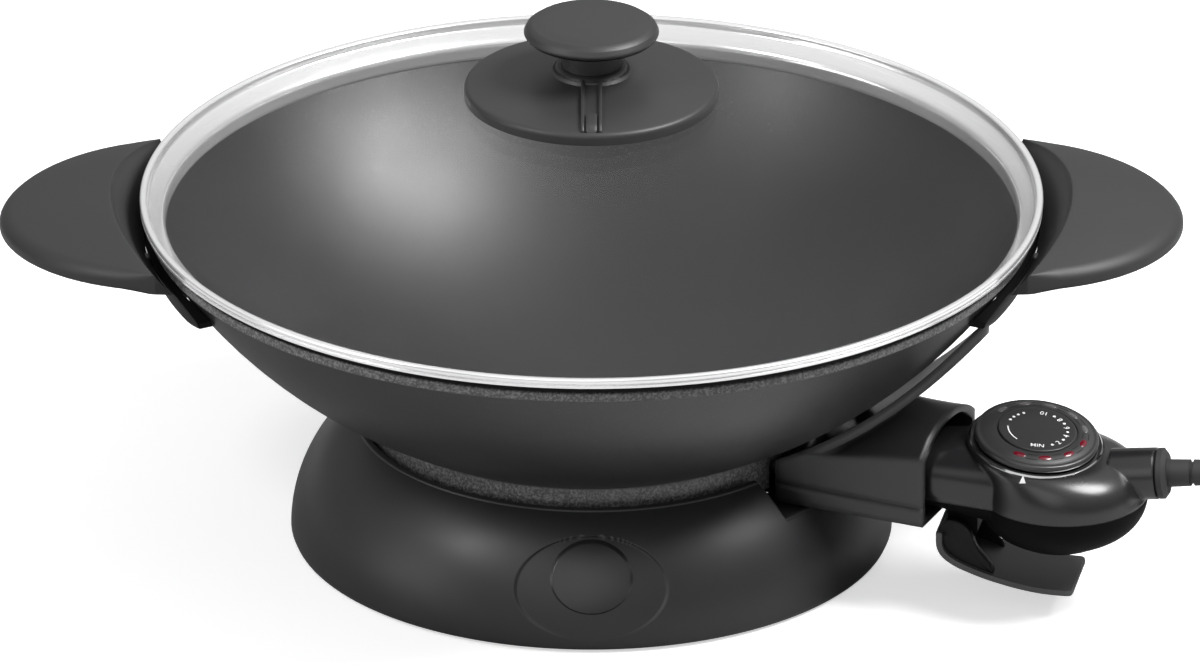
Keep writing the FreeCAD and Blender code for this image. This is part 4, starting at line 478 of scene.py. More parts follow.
class WOK_OT_cord(bpy.types.Operator):
    """Mains cord: out of the strain relief, down to the table, round its coil, to the plug"""
    bl_idname = "wok.cord"
    bl_label = "Cord"
    START, LEAD = 39.5, 89.5       # along the stub: end of the strain relief, end of the lead
    DROP = [(347.0, -84.0, 22.0), (361.0, -44.0, 4.0), (361.0, -8.0, 4.0)]
    TAIL = [(357.0, 46.0, 12.0), (357.0, 72.0, 18.8), (357.0, 96.0, 18.8)]
    COIL_X, COIL_Y, COIL_R = 312.0, 20.0, 45.0
    COIL_STEP, COIL_LOW = 8.0, 4.0
    PER_TURN = 12
    CUT_IN = 0.966                 # the spline's radius over that of its control points
    CLIMB = 0.28                   # last share of a turn, in which it moves to the next ring

    def coil(self, turns):
        """Control points of the coil, turn by turn: the outer ring, the inner one, then the
        one in the dip above. They lie a little outside the ring, because the spline cuts
        inside its control points."""
        steps = np.array([(0.5, 0.0), (-0.5, 0.0), (0.0, 1.0)])
        rings = np.array([self.COIL_R, self.COIL_LOW]) + self.COIL_STEP * steps
        points = []
        for k in range(turns * self.PER_TURN):
            share = (k + 0.5) / self.PER_TURN
            lap = int(share)
            following = min(lap + 1, turns - 1)
            into = min(max((share - lap - 1 + self.CLIMB) / self.CLIMB, 0.0), 1.0)
            reach, height = rings[lap] + (rings[following] - rings[lap]) * into
            x, y = (reach / self.CUT_IN * wave(ROUND * share) for wave in (math.cos, math.sin))
            points.append((self.COIL_X + x, self.COIL_Y + y, height))
        return points

    def execute(self, context):
        sizes = context.scene.wok_sizes
        start, lead = STUB @ Vector((0, 0, self.START)), STUB @ Vector((0, 0, self.LEAD))
        points = [start, lead] + self.DROP + self.coil(sizes.turns) + self.TAIL
        curve = bpy.data.curves.new("mains_cord_line", "CURVE")
        curve.dimensions = "3D"
        curve.bevel_depth = sizes.cord / 2
        curve.bevel_resolution = 6
        curve.resolution_u = 10
        curve.use_fill_caps = True
        spline = curve.splines.new("NURBS")
        spline.points.add(len(points) - 1)
        for place, point in zip(points, spline.points):
            point.co = (*(Vector(place) * MM), 1)
        spline.order_u = 3
        spline.use_endpoint_u = True
        cord = add_object("cord_line", curve)
        curve.materials.append(moulded("cord_jacket", (0.03, 0.03, 0.031), 0.42, 0.5, 0.03))
        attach(cord, "probe")
        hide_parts("mains_cord", "cord_coil", "cord_tail")
        return {"FINISHED"}


class WOK_OT_lid(bpy.types.Operator):
    """Domed glass, the steel rim rolled round it and the seal under the rim, near black as painted
    shade
    """
    bl_idname = "wok.lid"
    bl_label = "Lid"
    THICK, HOLE_R = 4.0, 4.5

    def dome(self):
        """Two arcs, one glass thickness apart, from the screw's hole to the steel rim. Their
        radius follows from the rise: R = (r^2 + h^2) / 2h."""
        edge_r, edge_z = LID_R - 1.6, LID_TOP - 0.5
        rise = APEX_Z - edge_z
        radius = (edge_r ** 2 + rise ** 2) / (2 * rise)
        centre = (0, APEX_Z - radius)
        low = math.degrees(math.asin((edge_z - centre[1]) / radius))
        hole = math.degrees(math.acos(self.HOLE_R / radius))
        return np.concatenate([arc(centre, radius, hole, low, 90),
                               arc(centre, radius - self.THICK, low - 0.25, hole, 90)])

    def rim(self):
        """Rolled bead, a groove under it, the flange below the glass and the skirt inside the
        bowl, as (r, z, ease) from the lid's outer edge and top."""
        corners = [(-3.2, -1.6, 0.2), (-3.0, -0.4, 0.6), (-1.6, 0, 0.8), (-0.1, -0.2, 0.9),
                   (0, -2.3, 0.7), (-0.9, -2.6, 0.2), (-0.9, -2.9, 0.1), (-0.15, -2.9, 0.2),
                   (-0.25, -4.1, 0.3), (-0.9, -4.2, 0.2), (-1.0, -3.7, 0.3), (-6.5, -4.9, 0.8),
                   (-9.6, -7.2, 0.6), (-9.9, -12.9, 0.3), (-8.9, -13.5, 0.3),
                   (-9.1, -14.1, 0.2), (-10.2, -13.9, 0.5), (-10.4, -12.6, 0.4),
                   (-10.1, -7.4, 2.0), (-6.4, -4.7, 2.2), (-3.6, -3.2, 0.6)]
        return soft_line(np.array(corners) + (LID_R, LID_TOP, 0), 7, True)

    def seal(self):
        """Ring between the flange and the bowl's rim, coloured near black: painted shade for the
        dark gap under the steel rim.
        """
        rest = RIM_Z + 0.3
        return soft_line([(LID_R - 6.8, LID_TOP - 5.9, 0.4), (LID_R - 2.3, LID_TOP - 4.6, 0.5),
                          (LID_R - 2.2, LID_TOP - 5.8, 0.6), (LID_R - 3.2, rest, 0.8),
                          (LID_R - 7.6, rest, 0.4)], 5, True)

    def execute(self, context):
        glass = clear_glass("clear_glass")
        polished = steel("steel_polished", (0.93, 0.93, 0.935), 0.17, 0.0, 0.72)
        # painted shade: the seal is near black, darker than the other rubber, for the shadowed gap
        # under the steel rim
        seal_painted_shade = moulded("rubber_black", (0.004, 0.004, 0.004), 0.7, 0.3, 0.05, specular=0.1)
        for name, profile, steps, *looks in (
                ("lid_dome", self.dome(), 360, glass, "lid", "clear_glass", "lid_glass"),
                ("lid_steel_rim", self.rim(), 360, polished, "lid", "steel_polished", "lid_rim"),
                ("lid_seal", self.seal(), 240, seal_painted_shade, "lid", "rubber_black")):
            add_piece(name, [skin(lathe(profile, steps), True, True)], *looks)
        return {"FINISHED"}


class WOK_OT_knob(bpy.types.Operator):
    """Knob with its cup, and the vent disc with its grip ridge"""
    bl_idname = "wok.knob"
    bl_label = "Knob and vent disc"
    DISC_R = 50.7
    EDGE_Z = APEX_Z - DISC_R ** 2 / (2 * 358.0) + 5.5    # follows the glass, a sphere of 358 mm
    RIDGE_HALF, RIDGE_RISE = 4.2, 1.9

    def execute(self, context):
        color = context.scene.wok_looks.handle
        handle = moulded("knob_plastic", color, 0.46, 0.3, 0.06)
        dark = moulded("knob_base_plastic", (0.010, 0.010, 0.011), 0.42, 0.3, 0.05)
        seam, wide = HUB_Z + 12.4, HUB_Z + 14.0
        side = soft_line([(0, seam, 0), (24.6, seam, 0.3), (26.4, wide - 1.0, 0.8),
                          (27.0, wide + 0.3, 0.6), (25.9, wide + 2.4, 0.8)], 6)
        top = soft_line([(23.6, wide + 4.0, 2.2), (19.0, wide + 5.0, 2.0), (10.0, wide + 5.5, 3.0),
                         (0, wide + 5.6, 0)], 8)
        cup = soft_line([(0, HUB_Z + 6.2, 0), (12.2, HUB_Z + 6.2, 0.5), (14.6, HUB_Z + 7.4, 1.4),
                         (25.0, seam - 0.4, 0.8), (25.4, seam - 0.1, 0.15), (0, seam - 0.1, 0)])
        crown = skin(lathe(np.concatenate([side, top]), 160))
        vent = [self.disc(), self.ridge(), self.nub()]
        add_piece("knob_crown", [crown], handle, "lid", "handle_plastic", "lid_knob")
        add_piece("knob_cup", [skin(lathe(cup, 160))], dark, "lid", "handle_plastic", "knob_base")
        add_piece("vent_cap", vent, handle, "vent", "handle_plastic", "vent_disc")
        return {"FINISHED"}

    def disc(self):
        """Shallow domed disc that flares up to its hub, hollow below."""
        edge, out = self.EDGE_Z, self.DISC_R
        outside = soft_line([(out, edge - 5.2, 0.6), (out, edge - 0.6, 2.0),
                             (45.0, edge + 0.7, 3.0), (33.0, edge + 3.0, 8.0),
                             (21.0, edge + 4.3, 4.0)], 9)
        inside = soft_line([(16.2, edge + 5.2, 2.6), (14.6, HUB_Z - 0.6, 1.2), (13.4, HUB_Z, 0.5),
                            (11.9, HUB_Z, 0.1), (11.9, HUB_Z - 6.0, 0.1),
                            (30.0, edge + 0.6, 2.0), (47.0, edge - 2.6, 1.0),
                            (48.4, edge - 5.2, 0.3), (out, edge - 5.2, 0.6)], 7)
        return skin(lathe(np.concatenate([outside, inside]), 240))

    def ridge_line(self):
        """Run u from hub to edge and the ridge's height z there: the disc's own profile, a
        rise that fades out at the edge, and a climb to the hub."""
        u = np.linspace(14.0, 48.9, 60)
        at, high = [14.0, 16.2, 21.0, 33.0, 45.0, 49.0], [5.6, 5.3, 4.3, 3.0, 0.7, -0.4]
        z = self.EDGE_Z + np.interp(u, at, high)
        z += self.RIDGE_RISE * np.clip((49.6 - u) / 3.0, 0, 1) ** 0.5
        z += np.clip(HUB_Z - 0.4 - z, 0, 9) * np.clip((17 - u) / 3, 0, 1)
        return u, z

    def ridge(self):
        """Bar with a channel along its top, carried along the ridge's line."""
        u, z = self.ridge_line()
        half = self.RIDGE_HALF
        x, up = soft_line([(-half, -3.4, 0), (-half, 0, 0.7), (-3.0, 0, 0.5), (-2.6, -1.6, 0.4),
                           (2.6, -1.6, 0.4), (3.0, 0, 0.5), (half, 0, 0.7), (half, -3.4, 0)], 5).T
        u, z = u[:, None], z[:, None]
        return closed_bar(np.stack([x + 0 * u, 0 * x - u, z + up], 2))

    def nub(self):
        """Rounded tongue in the channel's outer end: half a width of 2.3 mm, drawn in as an
        ellipse over its last 2.2 mm."""
        u, z = self.ridge_line()
        v = np.linspace(38.5, 49.6, 24)
        lift = np.interp(v, u, z) - 0.2 - 1.5 * np.clip((v - 48.0) / 1.6, 0, 1) ** 2
        tip = 2.3 * np.sqrt(np.clip(1 - np.clip((v - 47.6) / 2.2, 0, 1) ** 2, 0.02, 1))
        x, up = soft_line([(-1, -2.4, 0), (-1, 0, 0.7), (1, 0, 0.7), (1, -2.4, 0)], 5).T
        return closed_bar(np.stack([x * tip[:, None], 0 * x - v[:, None], up + lift[:, None]], 2))


class WOK_OT_handles(bpy.types.Operator):
    """Both handles: domed paddle with a soft edge, and the band under it that hugs the bowl, near
    black as painted shade
    """
    bl_idname = "wok.handles"
    bl_label = "Handles"
    CROWN_R, CROWN_X, CROWN_Z = 241.0, 160.8, -90.8
    OVAL_X, OVAL_LONG, OVAL_WIDE, OVAL_TURN = 165.0, 70.0, 67.6, 83.6
    INNER_X, INNER_R, INNER_TURN = 60.7, 130.6, 31.0
    DEEP = 8.0                     # from the crown down to the paddle's underside
    ROLL, BREAK = 5.2, 0.8         # rounding of the outer and of the inner edge
    BAND_TURN, BAND_HALF, BAND_REACH = 28.4, 86.0, 10.0
    BAND_Z, BAND_LOW, BAND_TOP = 126.0, 120.5, 135.5

    def execute(self, context):
        color = context.scene.wok_looks.handle
        pale = moulded("handle_plastic", color, 0.50, 0.3, 0.06, specular=0.4)
        # painted shade: the band under the paddle is a near-black, dull copy of the handle plastic,
        # standing for the shadowed wall there
        dark = moulded("saddle_painted_shade", (0.005, 0.005, 0.005), 0.5, 0.3, 0.06, specular=0.12)
        for name, way in (("right", 1.0), ("left", -1.0)):
            side = np.array([way, way, 1.0])
            paddle, saddle = closed_bar(self.paddle() * side), closed_bar(self.band() * side)
            add_piece(name + "_paddle", [paddle], pale, "wok", "handle_plastic", name + "_handle")
            add_piece(name + "_saddle", [saddle], dark, "wok", "handle_plastic")
        return {"FINISHED"}

    def crown(self, x, y):
        """Height of the paddle's top, a sphere."""
        return self.CROWN_Z + np.sqrt(self.CROWN_R ** 2 - (x - self.CROWN_X) ** 2 - y ** 2)

    def edges(self):
        """Points along the paddle's outer edge, an ellipse with a slight point, and along its
        inner edge, an arc. They are crowded where the two meet."""
        share = np.sin(np.linspace(-1, 1, 161) * QUARTER)
        theta, phi = np.radians(self.OVAL_TURN) * share, np.radians(self.INNER_TURN) * share
        long = self.OVAL_LONG * (1 + 0.012 * np.cos(theta) ** 8)
        outer = [self.OVAL_X + long * np.cos(theta), self.OVAL_WIDE * np.sin(theta)]
        inner = [self.INNER_X + self.INNER_R * np.cos(phi), self.INNER_R * np.sin(phi)]
        return np.stack(outer, 1), np.stack(inner, 1)

    def paddle(self):
        """Loops between the two edges. Each goes out along the crown, rolls over the outer
        edge, comes back below it and down into the band, and climbs the sloping wall to the
        inner edge. d is the distance out from the inner edge, h the height over the crown."""
        outer, inner = self.edges()
        gap = np.linalg.norm(outer - inner, axis=1)[:, None]
        way = (outer - inner) / np.maximum(gap, 1e-6)
        a = np.linspace(0, QUARTER, 9)
        t = np.linspace(0, 1, 22)
        roll = np.minimum(self.ROLL, 0.45 * gap)
        under = gap - roll * 0.8
        top_d = np.concatenate([self.BREAK * (1 - np.cos(a[::2])) + 0 * gap,
                                self.BREAK + (gap - roll - self.BREAK) * t[1:-1],
                                gap - roll + roll * np.sin(a)], 1)
        top_h = np.concatenate([self.BREAK * (np.sin(a[::2]) - 1), 0 * t[1:-1],
                                -3.6 * (1 - np.cos(a)) ** 0.9])
        low_d = np.concatenate([under + roll * 0.8 * np.cos(a), under * (1 - t[1:])], 1)
        low_h = np.concatenate([-4.9 - (self.DEEP - 4.9) * np.sin(a), 0 * t[1:] - self.DEEP])
        d = np.concatenate([top_d, low_d], 1)
        h = np.concatenate([top_h, low_h]) + 0 * gap
        x, y = inner[:, :1] + way[:, :1] * d, inner[:, 1:] + way[:, 1:] * d
        lower = np.arange(d.shape[1]) >= top_d.shape[1]
        web = 9.0 * np.exp(-((np.hypot(x, y) - 180.0) / 5.0).clip(0, 9) ** 1.5)
        web *= np.clip(gap / 12, 0, 1)
        loops = np.stack([x, y, self.crown(x, y) + h - web * lower], 2)
        az = np.arctan2(inner[:, 1], inner[:, 0])
        foot = np.stack([LEDGE_R * np.cos(az), LEDGE_R * np.sin(az), LEDGE_Z + 0 * az], 1)[:, None]
        s = np.linspace(0, 1, 8)[None, :-1, None]
        return np.concatenate([loops, foot * (1 - s) + loops[:, :1] * s], 1)

    def band(self):
        """Loops (r, z) round the bowl. Seen from the side the band is an ellipse with its foot
        cut level."""
        az = np.radians(self.BAND_TURN) * np.sin(np.linspace(-1, 1, 121) * QUARTER)[:, None]
        off = 180.0 * np.sin(az) / self.BAND_HALF
        reach = self.BAND_REACH * np.sqrt(np.clip(1 - off ** 2, 0.0, 1))
        low = np.maximum(self.BAND_Z - reach, self.BAND_LOW)
        high = np.minimum(self.BAND_Z + reach, self.BAND_TOP)
        ledge = np.minimum(high, LEDGE_Z)
        bowl = lambda z: np.sqrt((BALL_R + 0.5) ** 2 - (BALL_Z - z) ** 2)
        wall = lambda z: LEDGE_R + 0.15 * (z - LEDGE_Z)
        face = lambda z: (174.6 + 3.6 * np.clip((z - self.BAND_LOW) / 10.5, 0, 1) ** 0.7
                          + 0.3 * np.clip(z - LEDGE_Z, 0, 9))
        s = np.linspace(0, 1, 12)[None, :]
        up = low + (high - low) * s
        soften = np.minimum(1.0, (high - low) / 6.0) * 1.6 * ((1 - s) ** 6 + 0.4 * s ** 10)
        r = np.concatenate([bowl(low), np.maximum(face(up) - soften, bowl(low)),
                            np.minimum(wall(high), face(high) - 0.3),
                            np.minimum(wall(ledge), face(ledge) - 0.5),
                            np.minimum(bowl(ledge), face(ledge) - 0.6)], 1)
        z = np.concatenate([low, up, high, ledge, ledge], 1)
        return np.stack([r * np.cos(az), r * np.sin(az), z], 2)


class WOK_OT_base(bpy.types.Operator):
    """Flared base with its rounded lip, the shelf that carries the bowl and the oval recess"""
    bl_idname = "wok.base"
    bl_label = "Base"
    ARC_R, ARC_Z, ARC_RADIUS = 63.168, 2.266, 57.14
    LOW_Z, TOP_Z, LIP = 3.2, 51.0, 1.0
    SHELF_Z, SHELF_R, SHELF_THICK = 42.7, 84.5, 2.4
    NOTCH_HALF, NOTCH_SOFT, NOTCH_DEEP = 37.6, 2.4, 12.7
    POST_AT, POST_R, POST_LOW, POST_TOP = 86.0, 5.5, 16.6, 40.4
    OVAL_X, OVAL_Z, OVAL_MID = 31.0, 19.0, 24.5          # recess
    BADGE_X, BADGE_Z, BADGE_MID, BADGE_PROUD = 16.5, 12.9, 29.0, 0.8

    def skirt(self, z):
        """Radius of the skirt at a height, on the circle through (93, 51), (113.4, 29.5) and
        (120.3, 3.2)."""
        return self.ARC_R + np.sqrt(self.ARC_RADIUS ** 2 - (z - self.ARC_Z) ** 2)

    def recess(self, x, z):
        """Depth of the oval recess, deepest at its top edge, with a steep soft border."""
        inside = 1 - np.hypot(x / self.OVAL_X, (z - self.OVAL_MID) / self.OVAL_Z)
        depth = 1.8 * np.clip((z - self.OVAL_MID + self.OVAL_Z) / (2 * self.OVAL_Z), 0, 1) ** 0.8
        return depth * smooth(inside / 0.045)

    def top(self, a):
        """Height of the skirt's top all round, lower in the notch under the probe."""
        off = a - math.radians(PROBE_AZ)
        inside = (self.NOTCH_HALF - np.abs(100.0 * np.sin(off))) / self.NOTCH_SOFT
        return self.TOP_Z - self.NOTCH_DEEP * np.where(np.cos(off) > 0, smooth(inside), 0)

    def shell(self):
        """Section at every angle: foot, skirt with the recess in front, rounded lip, shelf and
        inner wall. The angles are crowded at the recess and the notch's ends."""
        spans = [(-180, 179, 180), (-108, -72, 320)]
        spans += [(PROBE_AZ + low, PROBE_AZ + low + 3.5, 22) for low in (-21.5, 18.0)]
        a = np.radians(np.unique(np.concatenate([np.linspace(*span) for span in spans])))[:, None]
        top = self.top(a)
        z = self.LOW_Z + (top - self.LIP - self.LOW_Z) * np.linspace(0, 1, 96)[None, :]
        r = self.skirt(z)
        dip = self.recess(r * np.cos(a), z) * (np.sin(a) < 0)
        b = np.linspace(0, QUARTER, 7)[None, :]
        lip = self.skirt(top - self.LIP)
        inner = lip - 3.0
        shelf = np.minimum(self.SHELF_Z, top - 1.2)
        below = shelf - self.SHELF_THICK
        section = [(116.0, 6.0), (117.6, 1.2), (119.6, 1.6), (r - dip, z),
                   (lip - self.LIP + self.LIP * np.cos(b), top - self.LIP + self.LIP * np.sin(b)),
                   (inner + 0.6, top), (inner, top - 0.6), (inner, shelf),
                   (self.SHELF_R + 0.4, shelf), (self.SHELF_R, shelf - 0.4), (self.SHELF_R, below),
                   (inner, below), (111.7, 27.0), (115.0, 6.0)]
        radius, height = (np.concatenate([value + 0 * a for value in values], 1)
                          for values in zip(*section))
        return skin(np.stack([radius * np.cos(a), radius * np.sin(a), height], 2), True, True)

    def post(self, angle):
        """Screw post that hangs from the shelf."""
        profile = soft_line([(0, self.POST_LOW, 0), (self.POST_R, self.POST_LOW, 0.2),
                             (self.POST_R, self.POST_TOP, 0.2), (0, self.POST_TOP, 0)], 4)
        place = self.POST_AT * np.array([math.cos(angle), math.sin(angle), 0])
        return skin(lathe(profile, 32) + place)

    def badge(self):
        """Bare disc that follows the recess, an oval with a rounded border."""
        b = np.linspace(0, QUARTER, 6)
        rho = np.concatenate([np.linspace(0, 0.94, 30), 1 - 0.06 * np.cos(b)])
        lift = self.BADGE_PROUD * np.concatenate([np.ones(30), np.cos(b)])
        a = np.linspace(0, ROUND, 120, endpoint=False)[:, None]
        x, z = self.BADGE_X * rho * np.cos(a), self.BADGE_MID + self.BADGE_Z * rho * np.sin(a)
        r = self.skirt(z) - self.recess(x, z) + lift
        front = np.stack([x, -np.sqrt(r ** 2 - x ** 2), z], 2)
        return skin(np.concatenate([front, front[:, ::-1] + np.array([0, 1.2, 0])], 1))

    def execute(self, context):
        color = context.scene.wok_looks.base
        plastic = moulded("base_plastic", color, 0.42, 0.4, 0.10, specular=0.45)
        plain = moulded("badge", (0.014, 0.014, 0.015), 0.30, 0.4, 0.02)
        skirt = [self.shell()] + [self.post(angle) for angle in np.radians([45, 135, 225, 315])]
        add_piece("base_skirt", skirt, plastic, "base", "base_plastic", "base_shell")
        add_piece("badge_plate", [self.badge()], plain, "base", "badge", "badge_disc")
        return {"FINISHED"}


class WOK_OT_dial(bpy.types.Operator):
    """Temperature dial with its shoulder, printed cap, light windows and pointer"""
    bl_idname = "wok.dial"
    bl_label = "Dial"
    CAP_Z = 6.4
    FIRST, PITCH, COUNT, LIT = -112.0, 31.0, 9, 4        # windows, from the first one's angle
    WINDOW_AT, WINDOW_LONG, WINDOW_WIDE = 19.4, 2.7, 1.35
    PRINT_AT, PRINT_Z, PRINT_HALF = 12.0, 6.42, 0.025
    ZERO, STEP = -61.0, 14.6                             # angle of 0 and from one mark to the next
    POINTER_AT, POINTER_ANGLE = 28.6, -101.0

    def shoulder(self, r):
        """Height of the shoulder between the cap and the rounded side."""
        return 5.9 - 1.5 * np.clip((r - 16.5) / 6.5, 0, 1) ** 2

    def body(self):
        """Side, shoulder and, behind a fine groove, the cap."""
        side = soft_line([(0, 1.3, 0), (24.0, 1.3, 0.3), (24.7, 2.0, 0.5), (25.0, 3.0, 0.6),
                          (24.4, 4.4, 0.8), (22.9, self.shoulder(22.9), 0.7)], 6)
        r = np.linspace(22.0, 16.9, 10)
        cap = soft_line([(16.4, 5.85, 0.1), (16.1, 5.3, 0.1), (15.8, 5.3, 0.1),
                         (15.6, self.CAP_Z - 0.1, 0.25), (14.9, self.CAP_Z, 0.2),
                         (0, self.CAP_Z, 0)], 5)
        profile = np.concatenate([side, np.stack([r, self.shoulder(r)], 1), cap])
        return skin(moved(lathe(profile, 200), DIAL))

    def lens(self, angle):
        """Low oval dome on the shoulder, 0.4 mm high."""
        rho = np.sin(np.linspace(0, QUARTER, 9))
        a = np.linspace(0, ROUND, 36, endpoint=False)[:, None]
        out = self.WINDOW_AT + self.WINDOW_WIDE * rho * np.sin(a)
        along = self.WINDOW_LONG * rho * np.cos(a)
        z = self.shoulder(out) + 0.4 * np.sqrt(1 - rho ** 2 * 0.999) - 0.12
        dome = np.stack([out, along, z + 0 * a], 2)
        low = dome[:, ::-1] * np.array([1, 1, 0]) + np.array([0, 0, 4.2])
        return skin(moved(np.concatenate([dome, low], 1), DIAL @ turn(angle)))

    def strip(self, radius, start, end, half, height):
        """Flat arc on the dial, `half` mm to each side of a radius."""
        a = np.radians(np.linspace(start, end, 14))[:, None]
        r = radius + half * np.array([[-1, 1, 1, -1]])
        z = height + self.PRINT_HALF * np.array([[1, 1, -1, -1]]) + 0 * a
        return closed_bar(moved(np.stack([r * np.cos(a), r * np.sin(a), z], 2), DIAL))

    def execute(self, context):
        satin = moulded("dial_plastic", (0.028, 0.028, 0.029), 0.34, 0.4, 0.05, specular=0.6)
        red = moulded("window_red", context.scene.wok_looks.windows, 0.18, 0.6, 0.02, specular=0.7)
        clear = moulded("window_clear", (0.10, 0.095, 0.095), 0.2, 0.6, 0.02, specular=0.7)
        # painted shade: flat near-black strips along the windows' edges stand in for the shade in
        # grooves
        dark = moulded("dial_groove_painted_shade", (0.004, 0.004, 0.004), 0.4, 0.4, 0.02)
        white = moulded("print_white", (0.80, 0.80, 0.80), 0.5, 0.4, 0.02)
        pale = moulded("pointer_white", (0.78, 0.78, 0.78), 0.5, 0.4, 0.02)
        angles = self.FIRST + self.PITCH * np.arange(self.COUNT)
        lenses = [self.lens(angle) for angle in angles]
        links = [self.strip(r, start + 9.5, start + self.PITCH - 9.5, 0.16, self.shoulder(r) + 0.03)
                 for start in angles[:-1] for r in (18.2, 20.6)]
        add_piece("dial_body", [self.body()], satin, "dial", "dial_plastic", "dial_knob",
                  "dial_cap")
        add_piece("dial_windows_lit", lenses[:self.LIT], red, "dial", "window_red", "dial_windows")
        add_piece("dial_windows_dark", lenses[self.LIT:], clear, "dial", "window_red")
        add_piece("dial_grooves", links, dark, "dial", "dial_plastic")
        add_piece("dial_prints", self.prints(), white, "dial", "dial_plastic")
        add_piece("dial_pointer", [self.pointer()], pale, "probe", "probe_plastic")
        return {"FINISHED"}

    def prints(self):
        """Marks round the cap, their tops to the middle: MIN, then dots and even numbers up
        to 10, four dots and a stroke back to MIN."""
        marks = [("MIN", -91.0, 2.5), ("10", 77.0, 2.7)]
        marks += [(str(2 * k), self.ZERO + self.STEP * (2 * k - 1), 2.7) for k in (1, 2, 3, 4)]
        dots = [self.ZERO + self.STEP * 2 * k for k in range(5)]
        dots += [117.0 + 12.5 * k for k in range(4)]
        dot = soft_line([(0, 0, 0), (0.62, 0, 0.05), (0.62, 0.05, 0.02), (0, 0.05, 0)], 3)
        spot = lathe(dot, 16) + (self.PRINT_AT, 0, self.PRINT_Z - 0.02)
        return ([self.word(*mark) for mark in marks]
                + [skin(moved(spot, DIAL @ turn(angle))) for angle in dots]
                + [self.strip(self.PRINT_AT - 0.2, 178.0, 226.0, 0.24, self.PRINT_Z)])

    def word(self, text, angle, size):
        """Mesh of a word or number whose baseline lies outside and whose top faces the middle."""
        curve = bpy.data.curves.new("word", "FONT")
        curve.body = text
        curve.size = size * 1.25
        curve.align_x, curve.align_y = "CENTER", "CENTER"
        curve.offset = 0.015
        curve.extrude = 0.03
        holder = add_object("word", curve)
        bpy.context.view_layer.update()
        solid = holder.evaluated_get(bpy.context.evaluated_depsgraph_get())
        mesh = bpy.data.meshes.new_from_object(solid)
        bpy.data.objects.remove(holder)
        bpy.data.curves.remove(curve)
        seat = Matrix.Translation((self.PRINT_AT, 0, self.PRINT_Z)) @ turn(90)
        mesh.transform(Matrix.Scale(MM, 4) @ DIAL @ turn(angle) @ seat)
        return mesh

    def pointer(self):
        """Small white triangle in front of the dial, in the plane that touches the housing
        where a line along the dial's axis meets it."""
        down = -(DIAL.to_3x3() @ Vector((0, 0, 1)))
        start = DIAL @ (turn(self.POINTER_ANGLE) @ Vector((self.POINTER_AT, 0, 8.0)))
        hit, place, normal, _ = NODES["probe_shell_upper"].ray_cast(start * MM, down)
        if not hit:
            raise RuntimeError("the pointer misses the housing")
        side = normal.cross((DIAL.translation - start).normalized()).normalized()
        ahead = side.cross(normal)
        flat = np.array([[2.0, 0.0], [-1.5, 1.3], [-1.5, -1.3]]) * MM
        rise = np.array([0.12, -0.6])[:, None, None] * MM * np.array(normal)
        corners = np.array(place) + flat @ np.array([ahead, side]) + rise
        return outward(corners.reshape(-1, 3),
                       [(0, 1, 2), (5, 4, 3), (0, 3, 4, 1), (1, 4, 5, 2), (2, 5, 3, 0)])


